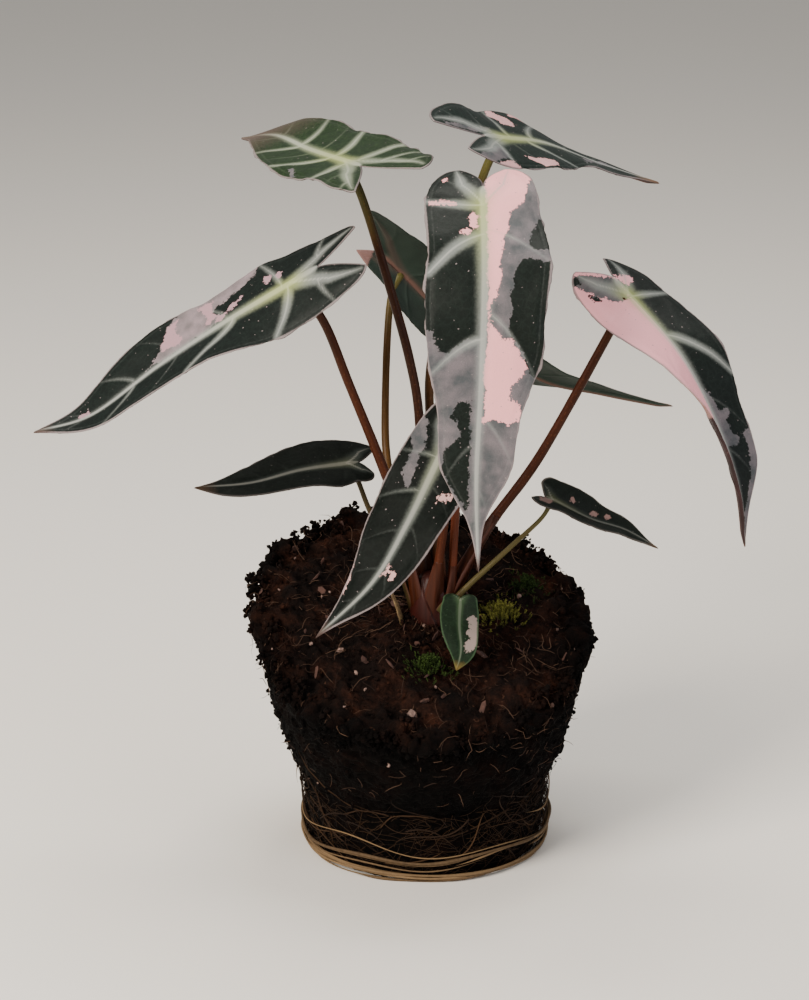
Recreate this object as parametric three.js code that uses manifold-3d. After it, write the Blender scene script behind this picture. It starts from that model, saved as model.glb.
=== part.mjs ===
// A pink-variegated dwarf alocasia lifted out of its pot: ten arrow-shaped leaves on slender stalks,
// a crown where the stalks meet, and the bare ball of peat that kept the shape of its nursery pot,
// with roots wound round its foot. Millimetres, +Z up. The origin is the centre of the ball's flat
// underside, and the side that the leaves face most is -Y.
import * as THREE from 'three';
import { mergeVertices } from 'three/addons/utils/BufferGeometryUtils.js';
import Module from 'manifold-3d';

const wasm = await Module();
wasm.setup();

// Driving dimensions
const BLADE_THICKNESS = 0.8;
const GAP = 0.3;
// The ball of peat. Its top slopes up towards the back and the left by so much for each
// millimetre, swells in a low mound round the crown, curls up at the rim and falls away in front.
const BALL = {
  rimRadius: 56,
  centreHeight: 79,
  moundHeight: 2,
  moundRadius: 15,
  backwardRise: 0.28,
  leftwardRise: 0.08,
  rimLift: 3,
  frontDrop: 12,
  leanLeft: 2,
  crumbOnTop: 1.2,
  crumbOnSide: 1.9,
};
const CROWN = { centre: [2, -1], radius: 7.8, foot: 68, top: 95 };
const ROOT = { radius: 0.9, matRadius: 41.8, flare: 0.08 };
const DRY_SCALE = { foot: [-7.4, -4, 79], tip: [-10.5, -5, 92], width: 7, hollow: 0.09, bend: 2.5 };
const MOSS_PADS = {
  light: { place: [25, 3], size: [6.5, 6, 2.6], colour: '#8a8a3a' },
  dark: { place: [35, 17], size: [5, 5, 2.2], colour: '#4a5527' },
  front: { place: [1, -28], size: [5.5, 4.5, 2], colour: '#5c6630' },
};

// Leaves. A leaf has its stalk joined at the first point of its midrib. Ahead of it is the blade,
// behind it two lobes with a notch between them. Widths and angles are [left, right] as seen on
// the upper face with the tip pointing away: half-widths go in equal steps from the joint to the
// tip, and folds and curls go lobe end, joint, third, two thirds, tip, in degrees, up positive.
// "faces" is where the upper face looks at the joint, half way and at the tip: azimuth from -Y
// towards +X, and elevation.
const SHARED_HALF = [0.92, 1, 0.95, 0.84, 0.68, 0.48, 0.2, 0];
const halfWidths = (widest) => SHARED_HALF.map((share) => share * widest);
const FLAT = [0, 0, 0, 0, 0];

const LEAVES = {
  left: {
    colour: '#26322b',
    midrib: [[-43.5, -14, 197], [-66, -11, 182.5], [-86.5, -10, 168.5], [-108.5, -14, 153], [-127, -20, 149]],
    faces: [[-45, 50], [-45, 50], [-45, 50]],
    half: [[15.5, 16.5, 14.5, 15.5, 14, 11, 5, 0], [16.5, 17, 15.5, 13, 12, 10.5, 6, 0]],
    lobe: [26, 26], lobeEnd: [9, 9], notch: 11,
    fold: [[-5, -5, 6, 14, 14], [-17, -17, 6, 10, 0]],
    wave: { height: 1, count: 2.2, phase: [0.1, 0.6] },
  },
  centre: {
    colour: '#8d8b88',
    midrib: [[17.5, -36, 226.5], [17.5, -56, 209], [16.5, -64, 180], [15, -68, 148], [16, -66, 117]],
    faces: [[0, 45], [0, 10], [0, -5]],
    half: [[18.4, 17.6, 18.6, 17, 13.2, 11.2, 3, 0], [17.2, 20.3, 19.2, 18.3, 12.8, 10.8, 2.6, 0]],
    lobe: [19, 19], lobeEnd: [7, 7], notch: 9, lobeDroop: 6, notchPower: 2,
    fold: [FLAT, FLAT],
    wave: { height: 1.5, count: 2.5, phase: [0.1, 0.6] },
  },
  right: {
    colour: '#c7a5a0',
    midrib: [[65.5, -5, 191], [79.5, -22, 177], [90.5, -32, 158.5], [98.5, -38, 137.5], [102, -38, 116]],
    faces: [[10, 50], [45, 30], [42, 10]],
    half: [[14, 15.5, 15, 13.5, 12, 9, 5, 0], [14, 16, 16, 15, 13, 11, 4, 0]],
    lobe: [19, 18], lobeEnd: [8, 3], notch: 9,
    fold: [[-25, -20, 25, 15, 0], [-30, -14, 10, 10, 5]],
    curl: [[0, 0, 0, 60, 120], FLAT],
    wave: { height: 1, count: 2, phase: [0.1, 0.6] },
  },
  front: {
    colour: '#2a3430',
    midrib: [[4.5, -40, 147.5], [-6.5, -50, 127], [-17.5, -57, 110], [-35, -62, 94]],
    faces: [[-15, 45], [-20, 40], [-25, 35]],
    half: [[12.5, 13.5, 14, 13, 10.5, 7.5, 3.4, 0], halfWidths(12.7)],
    lobe: [18, 18], lobeEnd: [6, 6], notch: 7,
    fold: [FLAT, FLAT],
    wave: { height: 1, count: 2, phase: [0.1, 0.6] },
  },
  top_left: {
    colour: '#2c4030',
    midrib: [[-26.5, 10, 232], [-38.5, 33, 231.5], [-51, 57, 232], [-64, 78, 227.5]],
    faces: [[-90, 75], [-90, 75], [-90, 75]],
    half: [[20.5, 19, 18.5, 18, 15, 11, 4, 0], halfWidths(18.5)],
    lobe: [37, 33], lobeEnd: [9, 13], notch: 12, lobePower: 2.6,
    fold: [[0, 0, 6, 12, 5], FLAT],
    wave: { height: 1, count: 2, phase: [0.1, 0.6] },
  },
  top_right: {
    colour: '#364139',
    midrib: [[25, 10, 239.5], [39.5, 28, 234.5], [59, 45, 224.5], [80.5, 58, 215.5]],
    faces: [[62, 60], [75, 72], [75, 72]],
    half: [[17.5, 19, 17, 13, 10, 7, 3, 0], [17.5, 19, 17.5, 14, 10, 7, 3, 0]],
    lobe: [29, 32], lobeEnd: [9, 5], notch: 11,
    fold: [FLAT, FLAT],
    wave: { height: 1, count: 2, phase: [0.1, 0.6] },
  },
  low_left: {
    colour: '#1d2420',
    midrib: [[-26.5, 8, 130], [-41.5, 0, 130], [-58, -8, 128], [-76, -14, 128.5]],
    faces: [[-20, 60], [-20, 60], [-20, 60]],
    half: [halfWidths(11.8), [9.5, 12.5, 12.5, 11, 9, 7, 4.5, 0]],
    lobe: [13, 8.5], lobeEnd: [5, 5], notch: 5,
    fold: [[5, 10, 12, 12, 10], [-30, 0, 12, 12, 0]],
    wave: { height: 0.6, count: 1.5, phase: [0.1, 0.6] },
  },
  back: {
    colour: '#2b2222',
    midrib: [[-8, 42, 188.5], [12, 48, 168], [40, 52, 148.5], [61.5, 52, 143], [86.5, 48, 139]],
    faces: [[160, 30], [160, 50], [160, 50]],
    half: [halfWidths(18), [8, 10, 11, 11, 9, 6.5, 2.8, 0]],
    lobe: [26, 18], lobeEnd: [10, 6], notch: 10,
    fold: [FLAT, [-70, -65, -30, 20, 20]],
    wave: { height: 1, count: 2, phase: [0.1, 0.6] },
  },
  low_right: {
    colour: '#20241f',
    midrib: [[42, -2, 120.5], [55, 2, 112.5], [67, 4, 108], [78.5, 4, 101.5]],
    faces: [[0, 60], [0, 62], [0, 65]],
    half: [halfWidths(9), halfWidths(8.6)],
    lobe: [9, 5.5], lobeEnd: [4, 4], notch: 3,
    fold: [[12, 25, 30, 20, 0], [15, 25, 25, 15, 0]],
    wave: { height: 0.4, count: 2, phase: [0.1, 0.6] },
  },
  small: {
    colour: '#46663f',
    midrib: [[11.5, -16, 90], [11, -24, 84.5], [11.5, -29, 77.5], [10, -30, 70.5]],
    faces: [[0, 30], [0, 20], [0, 10]],
    half: [[5.8, 6.4, 6.4, 6, 5.2, 4.2, 2.2, 0], [5.6, 6.2, 6.4, 6.2, 5.8, 5, 3, 0]],
    lobe: [5, 5], lobeEnd: [2.5, 2.5], notch: 1.5, lobeDroop: 3,
    fold: [FLAT, FLAT],
    wave: { height: 0.2, count: 1, phase: [0.1, 0.6] },
  },
};

// Stalks, from inside the crown to the joint with the blade. "sheath" is the length at the foot
// that is one piece with the crown, and "radius" goes foot, end of the sheath, joint.
const STALKS = {
  left: {
    colour: '#4a2a24', sheath: 20, radius: [2.2, 1.7, 1.4],
    route: [[-2, -3, 80], [-6, -4, 105], [-12.5, -4, 128], [-25, -5, 161], [-33.5, -6, 183]],
  },
  centre: {
    colour: '#6a3a30', sheath: 18, radius: [2, 1.4, 1.3],
    route: [[5, -2, 80], [8.5, -3, 90], [10, -5, 118], [12, -8, 146.5], [16, -15, 182], [18, -26, 210.5]],
  },
  right: {
    colour: '#4b2620', sheath: 38, radius: [2.8, 1.7, 1.4],
    route: [[6, 1, 80], [10.5, 1, 90.5], [21.5, 1, 111], [38, 0, 135.5], [59.5, -3, 177.5]],
  },
  front: {
    colour: '#5a3028', sheath: 20, radius: [2, 1.5, 1.2],
    route: [[2, -6, 80], [4.5, -7, 101], [7, -14, 125], [6.5, -27, 141]],
  },
  top_left: {
    colour: '#54362a', sheath: 24, radius: [2.2, 1.65, 1.4],
    route: [[0, 3, 80], [-1, 5, 110], [-2, 5, 145.5], [-5.5, 6, 167.5], [-13.5, 8, 196.5], [-21, 10, 220.5]],
  },
  top_right: {
    colour: '#5f4a32', sheath: 24, radius: [2.1, 1.6, 1.4],
    route: [[4, 4, 80], [4, 8, 110], [1.5, 9.5, 145.5], [2, 11, 165.5], [8, 12, 192], [19, 12, 228]],
  },
  low_left: {
    colour: '#55502f', sheath: 16, radius: [1.4, 0.95, 0.85],
    route: [[-3.5, -1, 80], [-6.5, -1, 90], [-10, 0, 100.5], [-18, 4, 113.5], [-23, 7, 125.5]],
  },
  back: {
    colour: '#5e5536', sheath: 20, radius: [1.9, 1.4, 1.2],
    route: [
      [-1, 3.5, 80], [-3.5, 5.5, 94], [-7, 7, 107], [-12.5, 12, 128], [-13.5, 22, 146.5], [-12, 38, 177.5],
    ],
  },
  low_right: {
    colour: '#6b5f3d', sheath: 11, radius: [1.3, 1, 0.7],
    route: [[6.5, -4, 80], [9, -4.2, 84.5], [13.5, -4.5, 90.5], [28.5, -4, 105], [38.5, -3, 114.5]],
  },
  small: {
    colour: '#6a5a3c', sheath: 8, radius: [1, 0.75, 0.6],
    route: [[4, -6, 81], [7, -9, 87.5], [10, -12.5, 90]],
  },
};

// Small maths
const radians = (degrees) => degrees * Math.PI / 180;
const clamp = (value, low, high) => Math.min(high, Math.max(low, value));
const mix = (a, b, share) => a + (b - a) * share;

// The value at share 0 to 1 along equally spaced values, joined by straight lines.
function onLine(values, share) {
  const place = clamp(share, 0, 1) * (values.length - 1);
  const step = Math.min(Math.floor(place), values.length - 2);
  return mix(values[step], values[step + 1], place - step);
}

// The same, joined by a smooth Catmull-Rom curve that runs straight on past both ends.
function onCurve(values, share) {
  const last = values.length - 1;
  const place = clamp(share, 0, 1) * last;
  const step = Math.min(Math.floor(place), last - 1);
  const f = place - step;
  const before = step > 0 ? values[step - 1] : 2 * values[0] - values[1];
  const after = step + 2 <= last ? values[step + 2] : 2 * values[last] - values[last - 1];
  const slopeIn = (values[step + 1] - before) / 2;
  const slopeOut = (after - values[step]) / 2;
  const rise = values[step + 1] - values[step];
  return values[step] + slopeIn * f + (3 * rise - 2 * slopeIn - slopeOut) * f * f
    + (slopeIn + slopeOut - 2 * rise) * f * f * f;
}

function smoothPath(points) {
  return new THREE.CatmullRomCurve3(points.map((p) => new THREE.Vector3(...p)), false, 'catmullrom', 0.5);
}

// Solids
function geometryFrom(points, triangles) {
  const geometry = new THREE.BufferGeometry();
  geometry.setAttribute('position', new THREE.Float32BufferAttribute(points.flat(), 3));
  geometry.setIndex(triangles.flat());
  return geometry;
}

function solidFrom(geometry) {
  const bare = geometry.clone();
  bare.deleteAttribute('normal');
  bare.deleteAttribute('uv');
  const merged = mergeVertices(bare, 1e-4);
  const corners = merged.index.array;
  const triVerts = [];
  for (let i = 0; i < corners.length; i += 3) {
    const [a, b, c] = [corners[i], corners[i + 1], corners[i + 2]];
    if (a !== b && b !== c && c !== a) triVerts.push(a, b, c);
  }
  return new wasm.Manifold(new wasm.Mesh({
    numProp: 3,
    vertProperties: new Float32Array(merged.attributes.position.array),
    triVerts: new Uint32Array(triVerts),
  }));
}

function geometryOf(solid) {
  const mesh = solid.getMesh();
  const geometry = new THREE.BufferGeometry();
  geometry.setAttribute('position', new THREE.BufferAttribute(new Float32Array(mesh.vertProperties), 3));
  geometry.setIndex(new THREE.BufferAttribute(new Uint32Array(mesh.triVerts), 1));
  return geometry;
}

const joined = (solids) => solids.reduce((whole, solid) => whole.add(solid));

function largestPiece(solid) {
  return solid.decompose().reduce((best, piece) => (piece.volume() > best.volume() ? piece : best));
}

// A tapering rod along a path, from one arc length to another, closed with flat ends.
function rod(path, from, to, radiusAt, sides, step) {
  const rings = Math.max(2, Math.round((to - from) / step));
  const length = path.getLength();
  const points = [];
  const triangles = [];
  let across = new THREE.Vector3(1, 0, 0);
  for (let ring = 0; ring <= rings; ring += 1) {
    const along = mix(from, to, ring / rings);
    const centre = path.getPointAt(clamp(along / length, 0, 1));
    const ahead = path.getTangentAt(clamp(along / length, 0, 1));
    centre.addScaledVector(ahead, along - clamp(along, 0, length));
    across = across.clone().addScaledVector(ahead, -across.dot(ahead)).normalize();
    const other = ahead.clone().cross(across);
    for (let side = 0; side < sides; side += 1) {
      const turn = 2 * Math.PI * side / sides;
      const point = centre.clone()
        .addScaledVector(across, Math.cos(turn) * radiusAt(along))
        .addScaledVector(other, Math.sin(turn) * radiusAt(along));
      points.push(point.toArray());
      if (ring === rings) continue;
      const here = ring * sides + side;
      const beside = ring * sides + (side + 1) % sides;
      triangles.push([here, beside, beside + sides], [here, beside + sides, here + sides]);
    }
  }
  for (let side = 1; side < sides - 1; side += 1) {
    triangles.push([0, side + 1, side], [rings * sides, rings * sides + side, rings * sides + side + 1]);
  }
  return solidFrom(geometryFrom(points, triangles));
}

// Leaf blades
class Blade {
  constructor(leaf) {
    Object.assign(this, { curl: [FLAT, FLAT], lobeDroop: 0, notchPower: 1.3, lobePower: 2 }, leaf);
    this.rib = smoothPath(leaf.midrib);
    this.length = this.rib.getLength();
    this.lobeLength = Math.max(...leaf.lobe);
  }

  // The point on the midrib at arc length y, and the directions ahead, up and right there.
  // Behind the joint it runs straight back, drooping if the lobes do.
  frame(y) {
    const nudge = 0.5;
    const along = clamp(y, 0, this.length);
    const place = (at) => this.rib.getPointAt(clamp(at / this.length, 0, 1));
    const ahead = place(along + nudge).sub(place(along - nudge)).normalize();
    const looks = this.faces.map((angles) => {
      const [azimuth, elevation] = angles.map(radians);
      const level = Math.cos(elevation);
      return [Math.sin(azimuth) * level, -Math.cos(azimuth) * level, Math.sin(elevation)];
    });
    const onAxis = (axis) => onLine(looks.map((look) => look[axis]), along / this.length);
    const up = new THREE.Vector3(onAxis(0), onAxis(1), onAxis(2));
    up.addScaledVector(ahead, -up.dot(ahead)).normalize();
    const right = up.clone().cross(ahead);
    const back = Math.min(y, 0);
    const centre = place(along).addScaledVector(ahead, back)
      .addScaledVector(up, -this.lobeDroop * (back / this.lobeLength) ** 2);
    return { centre, up, right };
  }

  outer(y, side) {
    if (y >= 0) return Math.max(0, onCurve(this.half[side], y / this.length));
    const back = clamp(-y / this.lobe[side], 0, 1);
    const round = (1 - back ** this.lobePower) ** (1 / this.lobePower);
    return mix(this.lobeEnd[side], this.half[side][0], round);
  }

  inner(y, side) {
    const open = clamp((-y - this.notch) / (this.lobe[side] - this.notch), 0, 1);
    return this.lobeEnd[side] * open ** this.notchPower;
  }

  // A point of the middle surface at arc length y and share 0 to 1 from the inner to the outer
  // edge of a side. The cross-section leaves the midrib at the fold angle and bends on by the curl.
  point(y, share, side) {
    const sign = side === 0 ? -1 : 1;
    const outer = this.outer(y, side);
    const reach = mix(this.inner(y, side), outer, share);
    const station = y < 0 ? 0.25 * (1 + y / this.lobeLength) : 0.25 + 0.75 * y / this.length;
    const fold = radians(onLine(this.fold[side], station));
    const curl = radians(onLine(this.curl[side], station)) || 1e-3;
    const part = outer > 0 ? reach / outer : 0;
    const bent = fold + curl * part;
    const across = outer / curl * (Math.sin(bent) - Math.sin(fold));
    const wave = Math.sin(2 * Math.PI * (this.wave.count * y / this.length + this.wave.phase[side]));
    const lift = outer / curl * (Math.cos(fold) - Math.cos(bent))
      + this.wave.height * (reach / Math.max(...this.half[side])) ** 2 * wave;
    const { centre, up, right } = this.frame(y);
    return centre.addScaledVector(right, sign * across).addScaledVector(up, lift);
  }

  rows(side, lobeSteps, bladeSteps) {
    const rows = [];
    for (let i = 0; i < lobeSteps; i += 1) {
      rows.push(-this.notch - (this.lobe[side] - this.notch) * Math.cos(Math.PI / 2 * i / lobeSteps));
    }
    rows.push(-this.notch, -this.notch / 2);
    for (let i = 0; i <= bladeSteps; i += 1) rows.push(this.length * i / bladeSteps);
    return rows;
  }

  // The closed solid: the middle surface moved half the thickness both ways along its normals,
  // with the same triangles on both faces and a wall round the edge.
  solid(thickness, lobeSteps = 4, bladeSteps = 14, columns = [0, 0.4, 0.75, 1]) {
    const points = [];
    const numbers = new Map();
    const triangles = [];
    const number = (point) => {
      const key = point.toArray().map((v) => Math.round(v * 1e3)).join();
      if (!numbers.has(key)) {
        numbers.set(key, points.length);
        points.push(point);
      }
      return numbers.get(key);
    };
    for (const side of [0, 1]) {
      const grid = this.rows(side, lobeSteps, bladeSteps)
        .map((y) => columns.map((share) => number(this.point(y, share, side))));
      for (let r = 0; r < grid.length - 1; r += 1) {
        for (let c = 0; c < columns.length - 1; c += 1) {
          const quad = [grid[r][c], grid[r + 1][c], grid[r + 1][c + 1], grid[r][c + 1]];
          if (side === 0) quad.reverse();
          triangles.push([quad[0], quad[1], quad[2]], [quad[0], quad[2], quad[3]]);
        }
      }
    }
    return thickened(points, triangles.filter(([a, b, c]) => a !== b && b !== c && c !== a), thickness);
  }
}

function thickened(points, triangles, thickness) {
  const normals = points.map(() => new THREE.Vector3());
  for (const [a, b, c] of triangles) {
    const face = points[b].clone().sub(points[a]).cross(points[c].clone().sub(points[a]));
    for (const corner of [a, b, c]) normals[corner].add(face);
  }
  const count = points.length;
  const moved = (distance) => points.map((point, i) => point.clone()
    .addScaledVector(normals[i].clone().normalize(), distance).toArray());
  const faces = [];
  const open = new Map();
  for (const [a, b, c] of triangles) {
    faces.push([a, b, c], [a + count, c + count, b + count]);
    for (const [from, to] of [[a, b], [b, c], [c, a]]) {
      if (!open.delete(`${to},${from}`)) open.set(`${from},${to}`, [from, to]);
    }
  }
  for (const [from, to] of open.values()) {
    faces.push([to, from, from + count], [to, from + count, to + count]);
  }
  return solidFrom(geometryFrom([...moved(thickness / 2), ...moved(-thickness / 2)], faces));
}

// Stalks and crown
const stalkPath = (name) => smoothPath([...STALKS[name].route, LEAVES[name].midrib[0]]);

function stalkRadius(name, path) {
  const { sheath, radius } = STALKS[name];
  return (along) => (along < sheath
    ? mix(radius[0], radius[1], along / sheath)
    : mix(radius[1], radius[2], (along - sheath) / (path.getLength() - sheath)));
}

function stalk(name, blade) {
  const path = stalkPath(name);
  const past = 2;
  const whole = rod(path, STALKS[name].sheath + GAP, path.getLength() + past, stalkRadius(name, path), 8, 9);
  return largestPiece(whole.subtract(blade.solid(BLADE_THICKNESS + 2 * GAP)));
}

function crown() {
  const { centre, radius, foot, top } = CROWN;
  const profile = [
    [0, foot], [radius - 2.2, foot + 0.6], [radius - 0.5, foot + 3], [radius, foot + 9],
    [radius - 0.3, top - 12], [radius - 1.6, top - 6], [radius - 4, top - 1], [0, top],
  ].map(([x, y]) => new THREE.Vector2(x, y));
  const core = new THREE.LatheGeometry(profile, 14).rotateX(Math.PI / 2).translate(centre[0], centre[1], 0);
  const sheaths = Object.keys(STALKS).map((name) => {
    const path = stalkPath(name);
    return rod(path, 0, STALKS[name].sheath, stalkRadius(name, path), 8, 7);
  });
  return joined([solidFrom(core), ...sheaths]);
}

// Ball of peat
// A lumpy field from -1.5 to 1.5, with lumps about 8 mm across.
const crumbs = (x, y, z) => Math.sin(0.43 * x + 1.3 * Math.sin(0.21 * y) + 0.5)
  * Math.sin(0.39 * y + 1.1 * Math.sin(0.25 * z) + 0.33 * z) + 0.5 * Math.sin(0.9 * x + 0.7 * y + 1.1 * z);

function topHeight(x, y) {
  const fromAxis = Math.hypot(x, y);
  const out = fromAxis / BALL.rimRadius;
  const front = clamp((-y - 10) / 35, 0, 1);
  const slope = BALL.centreHeight + BALL.backwardRise * y - BALL.leftwardRise * x;
  const mound = BALL.moundHeight * Math.exp(-((fromAxis / BALL.moundRadius) ** 2));
  const rim = (BALL.rimLift - BALL.frontDrop * front) * out ** 2.5;
  return slope + mound + rim + BALL.crumbOnTop * crumbs(x, y, 0) * clamp(3 * out - 0.5, 0, 1);
}

// The ball's side. Its foot was held in by the pot: [height, radius]. Above that the radius goes
// with the share of the way up to the crumbling rim: [share, radius].
const FOOT = [[0, 39.4], [4, 40.1], [10, 40.7], [17, 41.3], [24, 41.9]];
const SIDE = [
  [0.12, 44.4], [0.25, 47.4], [0.4, 49.9], [0.55, 52], [0.7, 53.8], [0.84, 55.2], [0.94, 55.9], [1, 56],
];
const TOP_SHARES = [0.95, 0.86, 0.75, 0.64, 0.53, 0.42, 0.32, 0.23, 0.15];

function ball() {
  const around = 52;
  const footTop = FOOT.at(-1)[0];
  const rings = FOOT.map(([height, radius]) => (angle) => [
    radius * Math.cos(angle), radius * Math.sin(angle), height,
  ]);
  for (const [share, radius] of SIDE) {
    rings.push((angle) => {
      const [rimX, rimY] = [BALL.rimRadius * Math.cos(angle), BALL.rimRadius * Math.sin(angle)];
      const height = mix(footTop, topHeight(rimX, rimY), share);
      const ragged = radius + BALL.crumbOnSide * Math.sqrt(share) * crumbs(rimX, rimY, height);
      return [ragged * Math.cos(angle) - BALL.leanLeft * share, ragged * Math.sin(angle), height];
    });
  }
  for (const share of TOP_SHARES) {
    rings.push((angle) => {
      const [x, y] = [share * BALL.rimRadius * Math.cos(angle), share * BALL.rimRadius * Math.sin(angle)];
      return [x - BALL.leanLeft * share, y, topHeight(x, y)];
    });
  }
  const points = [[0, 0, 0]];
  const triangles = [];
  rings.forEach((ring, r) => {
    for (let i = 0; i < around; i += 1) {
      points.push(ring(2 * Math.PI * i / around));
      const here = 1 + r * around + i;
      const beside = 1 + r * around + (i + 1) % around;
      if (r === 0) triangles.push([0, beside, here]);
      else triangles.push([here - around, beside - around, beside], [here - around, beside, here]);
    }
  });
  const centre = points.push([0, 0, topHeight(0, 0)]) - 1;
  for (let i = 0; i < around; i += 1) {
    const start = 1 + (rings.length - 1) * around;
    triangles.push([centre, start + i, start + (i + 1) % around]);
  }
  return solidFrom(geometryFrom(points, triangles));
}

// A plain round hole for the crown to stand in, clear of its facets all round.
function crownHole() {
  const depth = CROWN.top - CROWN.foot;
  const radius = CROWN.radius + GAP + 0.2;
  const hole = new THREE.CylinderGeometry(radius, radius, depth, 20);
  hole.rotateX(Math.PI / 2).translate(CROWN.centre[0], CROWN.centre[1], CROWN.foot - GAP + depth / 2);
  return solidFrom(hole);
}

// Roots wound round the ball's foot as they grew round the inside of the pot, with strands that
// climb from one turn to the next. All are fused into one mat. A turn has its height, how far it
// sways up and down, and where the sway starts.
const ROOT_TURNS = [[2, 0.6, 0], [5.5, 2, 1.1], [10.5, 3, 2.3], [17, 3.5, 5.2]];
const ROOT_CLIMBS = [[20, 17], [90, 20], [160, 17], [235, 20], [300, 17]];

function rootMat() {
  const pointAt = (angle, height, sway = 0) => {
    const radius = ROOT.matRadius + ROOT.flare * height + sway;
    return [radius * Math.cos(angle), radius * Math.sin(angle), Math.max(height, ROOT.radius + GAP)];
  };
  const steps = 26;
  const loops = ROOT_TURNS.map(([height, sway, phase]) => {
    const points = [];
    for (let i = 0; i < steps; i += 1) {
      const angle = 2 * Math.PI * i / steps;
      const rise = sway * Math.sin(3 * angle + phase) * Math.cos(2 * angle - phase);
      points.push(pointAt(angle, height + rise, 0.35 * Math.sin(5 * angle + phase)));
    }
    return loopRod(points, ROOT.radius, 4);
  });
  const climbs = ROOT_CLIMBS.map(([start, rise]) => {
    const turnFor = (share) => radians(start + 40 * share);
    const points = [0, 0.25, 0.5, 0.75, 1].map((share) => pointAt(turnFor(share), 2 + rise * share));
    const path = smoothPath(points);
    return rod(path, 0, path.getLength(), () => ROOT.radius, 4, 8);
  });
  return largestPiece(joined([...loops, ...climbs]));
}

// A closed ring of even thickness through the points given.
function loopRod(centres, radius, sides) {
  const count = centres.length;
  const points = [];
  const triangles = [];
  centres.forEach(([x, y, z], i) => {
    const out = new THREE.Vector3(x, y, 0).normalize();
    for (let side = 0; side < sides; side += 1) {
      const turn = 2 * Math.PI * side / sides;
      const reach = radius * Math.cos(turn);
      points.push([x + out.x * reach, y + out.y * reach, z + radius * Math.sin(turn)]);
      const here = i * sides + side;
      const above = i * sides + (side + 1) % sides;
      const next = ((i + 1) % count) * sides;
      triangles.push([here, next + side, next + (side + 1) % sides], [here, next + (side + 1) % sides, above]);
    }
  });
  return solidFrom(geometryFrom(points, triangles));
}

// A cushion of moss lying on the peat, clear of it by the gap.
function mossPad({ place: [x, y], size }, peat) {
  const pad = new THREE.SphereGeometry(1, 12, 8);
  const corners = pad.attributes.position;
  for (let i = 0; i < corners.count; i += 1) {
    const corner = [corners.getX(i), corners.getY(i), corners.getZ(i)];
    const bump = 1 + 0.16 * Math.sin(5 * corner[0] + 2) * Math.sin(6 * corner[1] + x);
    corners.setXYZ(i, ...corner.map((value, axis) => value * size[axis] * bump));
  }
  pad.translate(x, y, topHeight(x, y) + 0.5);
  return largestPiece(solidFrom(pad).subtract(peat.translate([0, 0, GAP])));
}

// The dry papery scale that wrapped the first leaves, left standing beside the crown.
function dryScale(peat) {
  const { width, hollow, bend } = DRY_SCALE;
  const foot = new THREE.Vector3(...DRY_SCALE.foot);
  const tip = new THREE.Vector3(...DRY_SCALE.tip);
  const rows = 6;
  const columns = 4;
  const points = [];
  const triangles = [];
  for (let r = 0; r <= rows; r += 1) {
    const share = r / rows;
    for (let c = 0; c <= columns; c += 1) {
      const across = (c / columns - 0.5) * width * (1 - 0.85 * share ** 2);
      const point = foot.clone().lerp(tip, share);
      point.x -= hollow * across * across + bend * share * share;
      point.y += across;
      points.push(point);
      if (r === rows || c === columns) continue;
      const here = r * (columns + 1) + c;
      const above = here + columns + 1;
      triangles.push([here, here + 1, above + 1], [here, above + 1, above]);
    }
  }
  return largestPiece(thickened(points, triangles, BLADE_THICKNESS).subtract(peat.translate([0, 0, GAP])));
}

// Assembly
const plant = new THREE.Group();

function addPiece(name, solid, colour, roughness) {
  const look = { color: colour, roughness, metalness: 0, flatShading: true };
  const mesh = new THREE.Mesh(geometryOf(solid), new THREE.MeshStandardMaterial(look));
  mesh.name = name;
  plant.add(mesh);
}

const peat = ball();
addPiece('peat_ball', peat.subtract(crownHole()), '#2b1f18', 1);
addPiece('root_mat', rootMat(), '#b59a6c', 0.8);
addPiece('crown', crown(), '#6b352a', 0.6);
addPiece('dry_scale', dryScale(peat), '#7a6242', 0.9);
for (const [name, pad] of Object.entries(MOSS_PADS)) {
  addPiece(`moss_pad_${name}`, mossPad(pad, peat), pad.colour, 1);
}
for (const [name, leaf] of Object.entries(LEAVES)) {
  const blade = new Blade(leaf);
  addPiece(`blade_${name}`, blade.solid(BLADE_THICKNESS), leaf.colour, 0.45);
  addPiece(`stalk_${name}`, stalk(name, blade), STALKS[name].colour, 0.5);
}

export default plant;
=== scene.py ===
"""A pink-variegated dwarf alocasia with its ball of peat bare. Lengths are in millimetres up to the
moment a mesh is made, and every piece rides on the one body of the part."""
import math

import bpy
import numpy as np
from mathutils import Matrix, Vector


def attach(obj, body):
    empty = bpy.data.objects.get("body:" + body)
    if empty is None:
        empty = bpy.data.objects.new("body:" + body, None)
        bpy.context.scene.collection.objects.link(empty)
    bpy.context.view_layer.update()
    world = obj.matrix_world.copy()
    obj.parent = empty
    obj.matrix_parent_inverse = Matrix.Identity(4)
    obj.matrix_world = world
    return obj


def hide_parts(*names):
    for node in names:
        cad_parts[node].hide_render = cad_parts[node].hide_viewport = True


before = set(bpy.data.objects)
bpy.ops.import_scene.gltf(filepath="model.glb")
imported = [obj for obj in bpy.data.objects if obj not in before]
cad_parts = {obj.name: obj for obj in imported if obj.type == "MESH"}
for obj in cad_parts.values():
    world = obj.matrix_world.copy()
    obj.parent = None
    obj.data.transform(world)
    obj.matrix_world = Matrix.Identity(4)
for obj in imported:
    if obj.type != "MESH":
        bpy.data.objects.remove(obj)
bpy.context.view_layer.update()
MM = 0.001

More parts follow.
